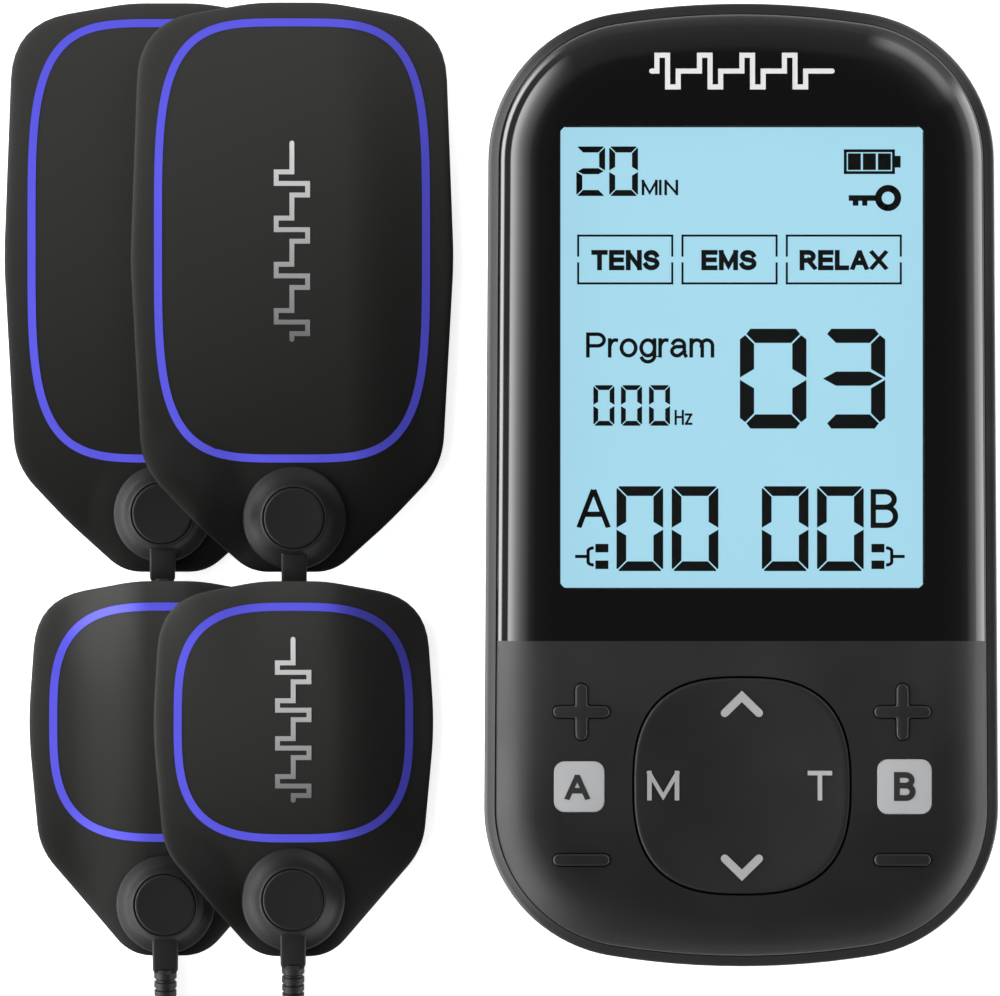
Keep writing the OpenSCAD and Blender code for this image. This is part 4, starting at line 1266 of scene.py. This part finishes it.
FINISHES = {
    "front_frame": "frame", "display_window": "window", "lcd_glass": "lcd", "lcd_backlight": "diffuser",
    "lcd_frame": "steel", "lcd_ribbon": "ribbon", "main_pcb": "board", "control_chip": "chip",
    "output_transformers": "ferrite", "storage_capacitors": "aluminium", "buzzer": "chip",
    "tact_switches": "steel", "keypad_mat": "silicone", "output_jacks": "frame",
    "charge_socket": "steel", "battery_cell": "foil", "battery_foam": "foam",
    "battery_wires": "wire_red", "housing_screws": "steel", "dpad_pivot_bar": "frame",
    "snap_studs": "nickel", "snap_rings": "brass",
}


def finish_cad_pieces():
    """Each CAD piece that still shows, or lies inside, gets its own finish."""
    for node, name in FINISHES.items():
        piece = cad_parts[node]
        if not piece.material_slots:
            piece.data.materials.append(None)
        for slot in piece.material_slots:
            slot.material = MATERIALS[name]


# ---- Studio ----

# How bright the room is to each side, as (sine of the height above the horizon, brightness). The
# left has a low strip and, above a dark gap, a tall soft box that fades upwards.
ROOM = {
    "left": [(0, 14), (0.14, 14), (0.19, 0.4), (0.31, 0.4), (0.37, 11), (0.44, 10), (0.6, 4.6),
             (0.72, 2.4), (0.875, 0.4), (0.95, 0.12), (1, 0.06)],
    "right": [(0, 9), (0.14, 8), (0.3, 2.0), (0.5, 0.9), (0.59, 0.3), (0.8, 0.12), (1, 0.06)],
    "ends": [(0, 1.2), (0.1, 0.9), (0.3, 0.5), (0.6, 0.4), (0.85, 0.3), (0.93, 0.1), (1, 0.06)],
    "corner": [(0, 1), (0.2, 1.5), (0.34, 4), (0.5, 3.5), (0.68, 0.8), (0.85, 0.3), (1, 0.06)],
}
BRIGHTEST = 14.0
# Where each side of the room starts and ends: an axis, and the directions' extents along it
SIDES = (("left", (-1, 0, 0), 0.5, 0.92), ("right", (1, 0, 0), 0.5, 0.92),
         ("corner", (0.6, 0.8, 0), 0.9, 0.98))


FLOOR_HALF = 3000.0


def make_floor():
    """A plain white sheet that glows a little, so that shadows on it stay faint."""
    MATERIALS["floor"] = new_material("floor", (0.86, 0.86, 0.87), 0.6, Emission_Color=(1, 1, 1, 1),
                                      Emission_Strength=0.75)
    add_grain(MATERIALS["floor"], 1 / (2 * MM), 0.01 * MM)
    corners = bar(-FLOOR_HALF, FLOOR_HALF, -FLOOR_HALF, FLOOR_HALF)
    link_mesh("floor", at_height(corners, -0.02), [(0, 1, 2, 3)], "floor", body=None)


def make_room():
    """Soft studio light from all round, brightest on the left; the camera itself sees plain white."""
    world = bpy.data.worlds.new("studio")
    bpy.context.scene.world = world
    world.use_nodes = True
    tree = world.node_tree
    coords = add_node(tree, "TexCoord").outputs["Generated"]
    height = add_node(tree, "SeparateXYZ", {"Vector": coords}).outputs["Z"]
    flat = add_node(tree, "VectorMath", {0: coords, 1: (1, 1, 0)}, operation="MULTIPLY")
    unit = add_node(tree, "VectorMath", {0: flat.outputs["Vector"]}, operation="NORMALIZE")
    unit = unit.outputs["Vector"]
    colours = {}
    for side, stops in ROOM.items():
        greys = [(position, (value / BRIGHTEST,) * 3) for position, value in stops]
        colours[side] = add_ramp(tree, height, greys)
    mixed = colours["ends"]
    for side, axis, start, end in SIDES:
        along = add_node(tree, "VectorMath", {0: unit, 1: axis}, operation="DOT_PRODUCT")
        limits = {"From Min": start, "From Max": end, "Value": along.outputs["Value"]}
        weight = add_node(tree, "MapRange", limits, interpolation_type="SMOOTHSTEP").outputs["Result"]
        mix = add_node(tree, "Mix", {"Factor": weight, "A": mixed, "B": colours[side]}, data_type="RGBA")
        mixed = mix.outputs["Result"]
    room = tree.nodes["Background"]
    tree.links.new(mixed, room.inputs["Color"])
    room.inputs["Strength"].default_value = BRIGHTEST
    seen = add_node(tree, "Background", {"Color": (0.95, 0.95, 0.95, 1)}).outputs["Background"]
    to_camera = add_node(tree, "LightPath").outputs["Is Camera Ray"]
    choose = add_node(tree, "MixShader", {"Fac": to_camera, 1: room.outputs["Background"], 2: seen})
    tree.links.new(choose.outputs["Shader"], tree.nodes["World Output"].inputs["Surface"])
    bpy.context.scene.view_settings.view_transform = "Standard"


# ---- Build: the camera and the cords first ----

make_yokes()
make_coil_ties()
make_plugs()
make_reliefs()
make_branches()
make_main_leads()
make_pads()
make_loops()
make_connectors()
make_rear_shell()
make_front()
make_keys()
make_dpad()
make_badges()
make_dpad_legends()
make_badge_letters()
make_motifs()
make_lcd_contents()
finish_cad_pieces()
make_floor()
make_room()
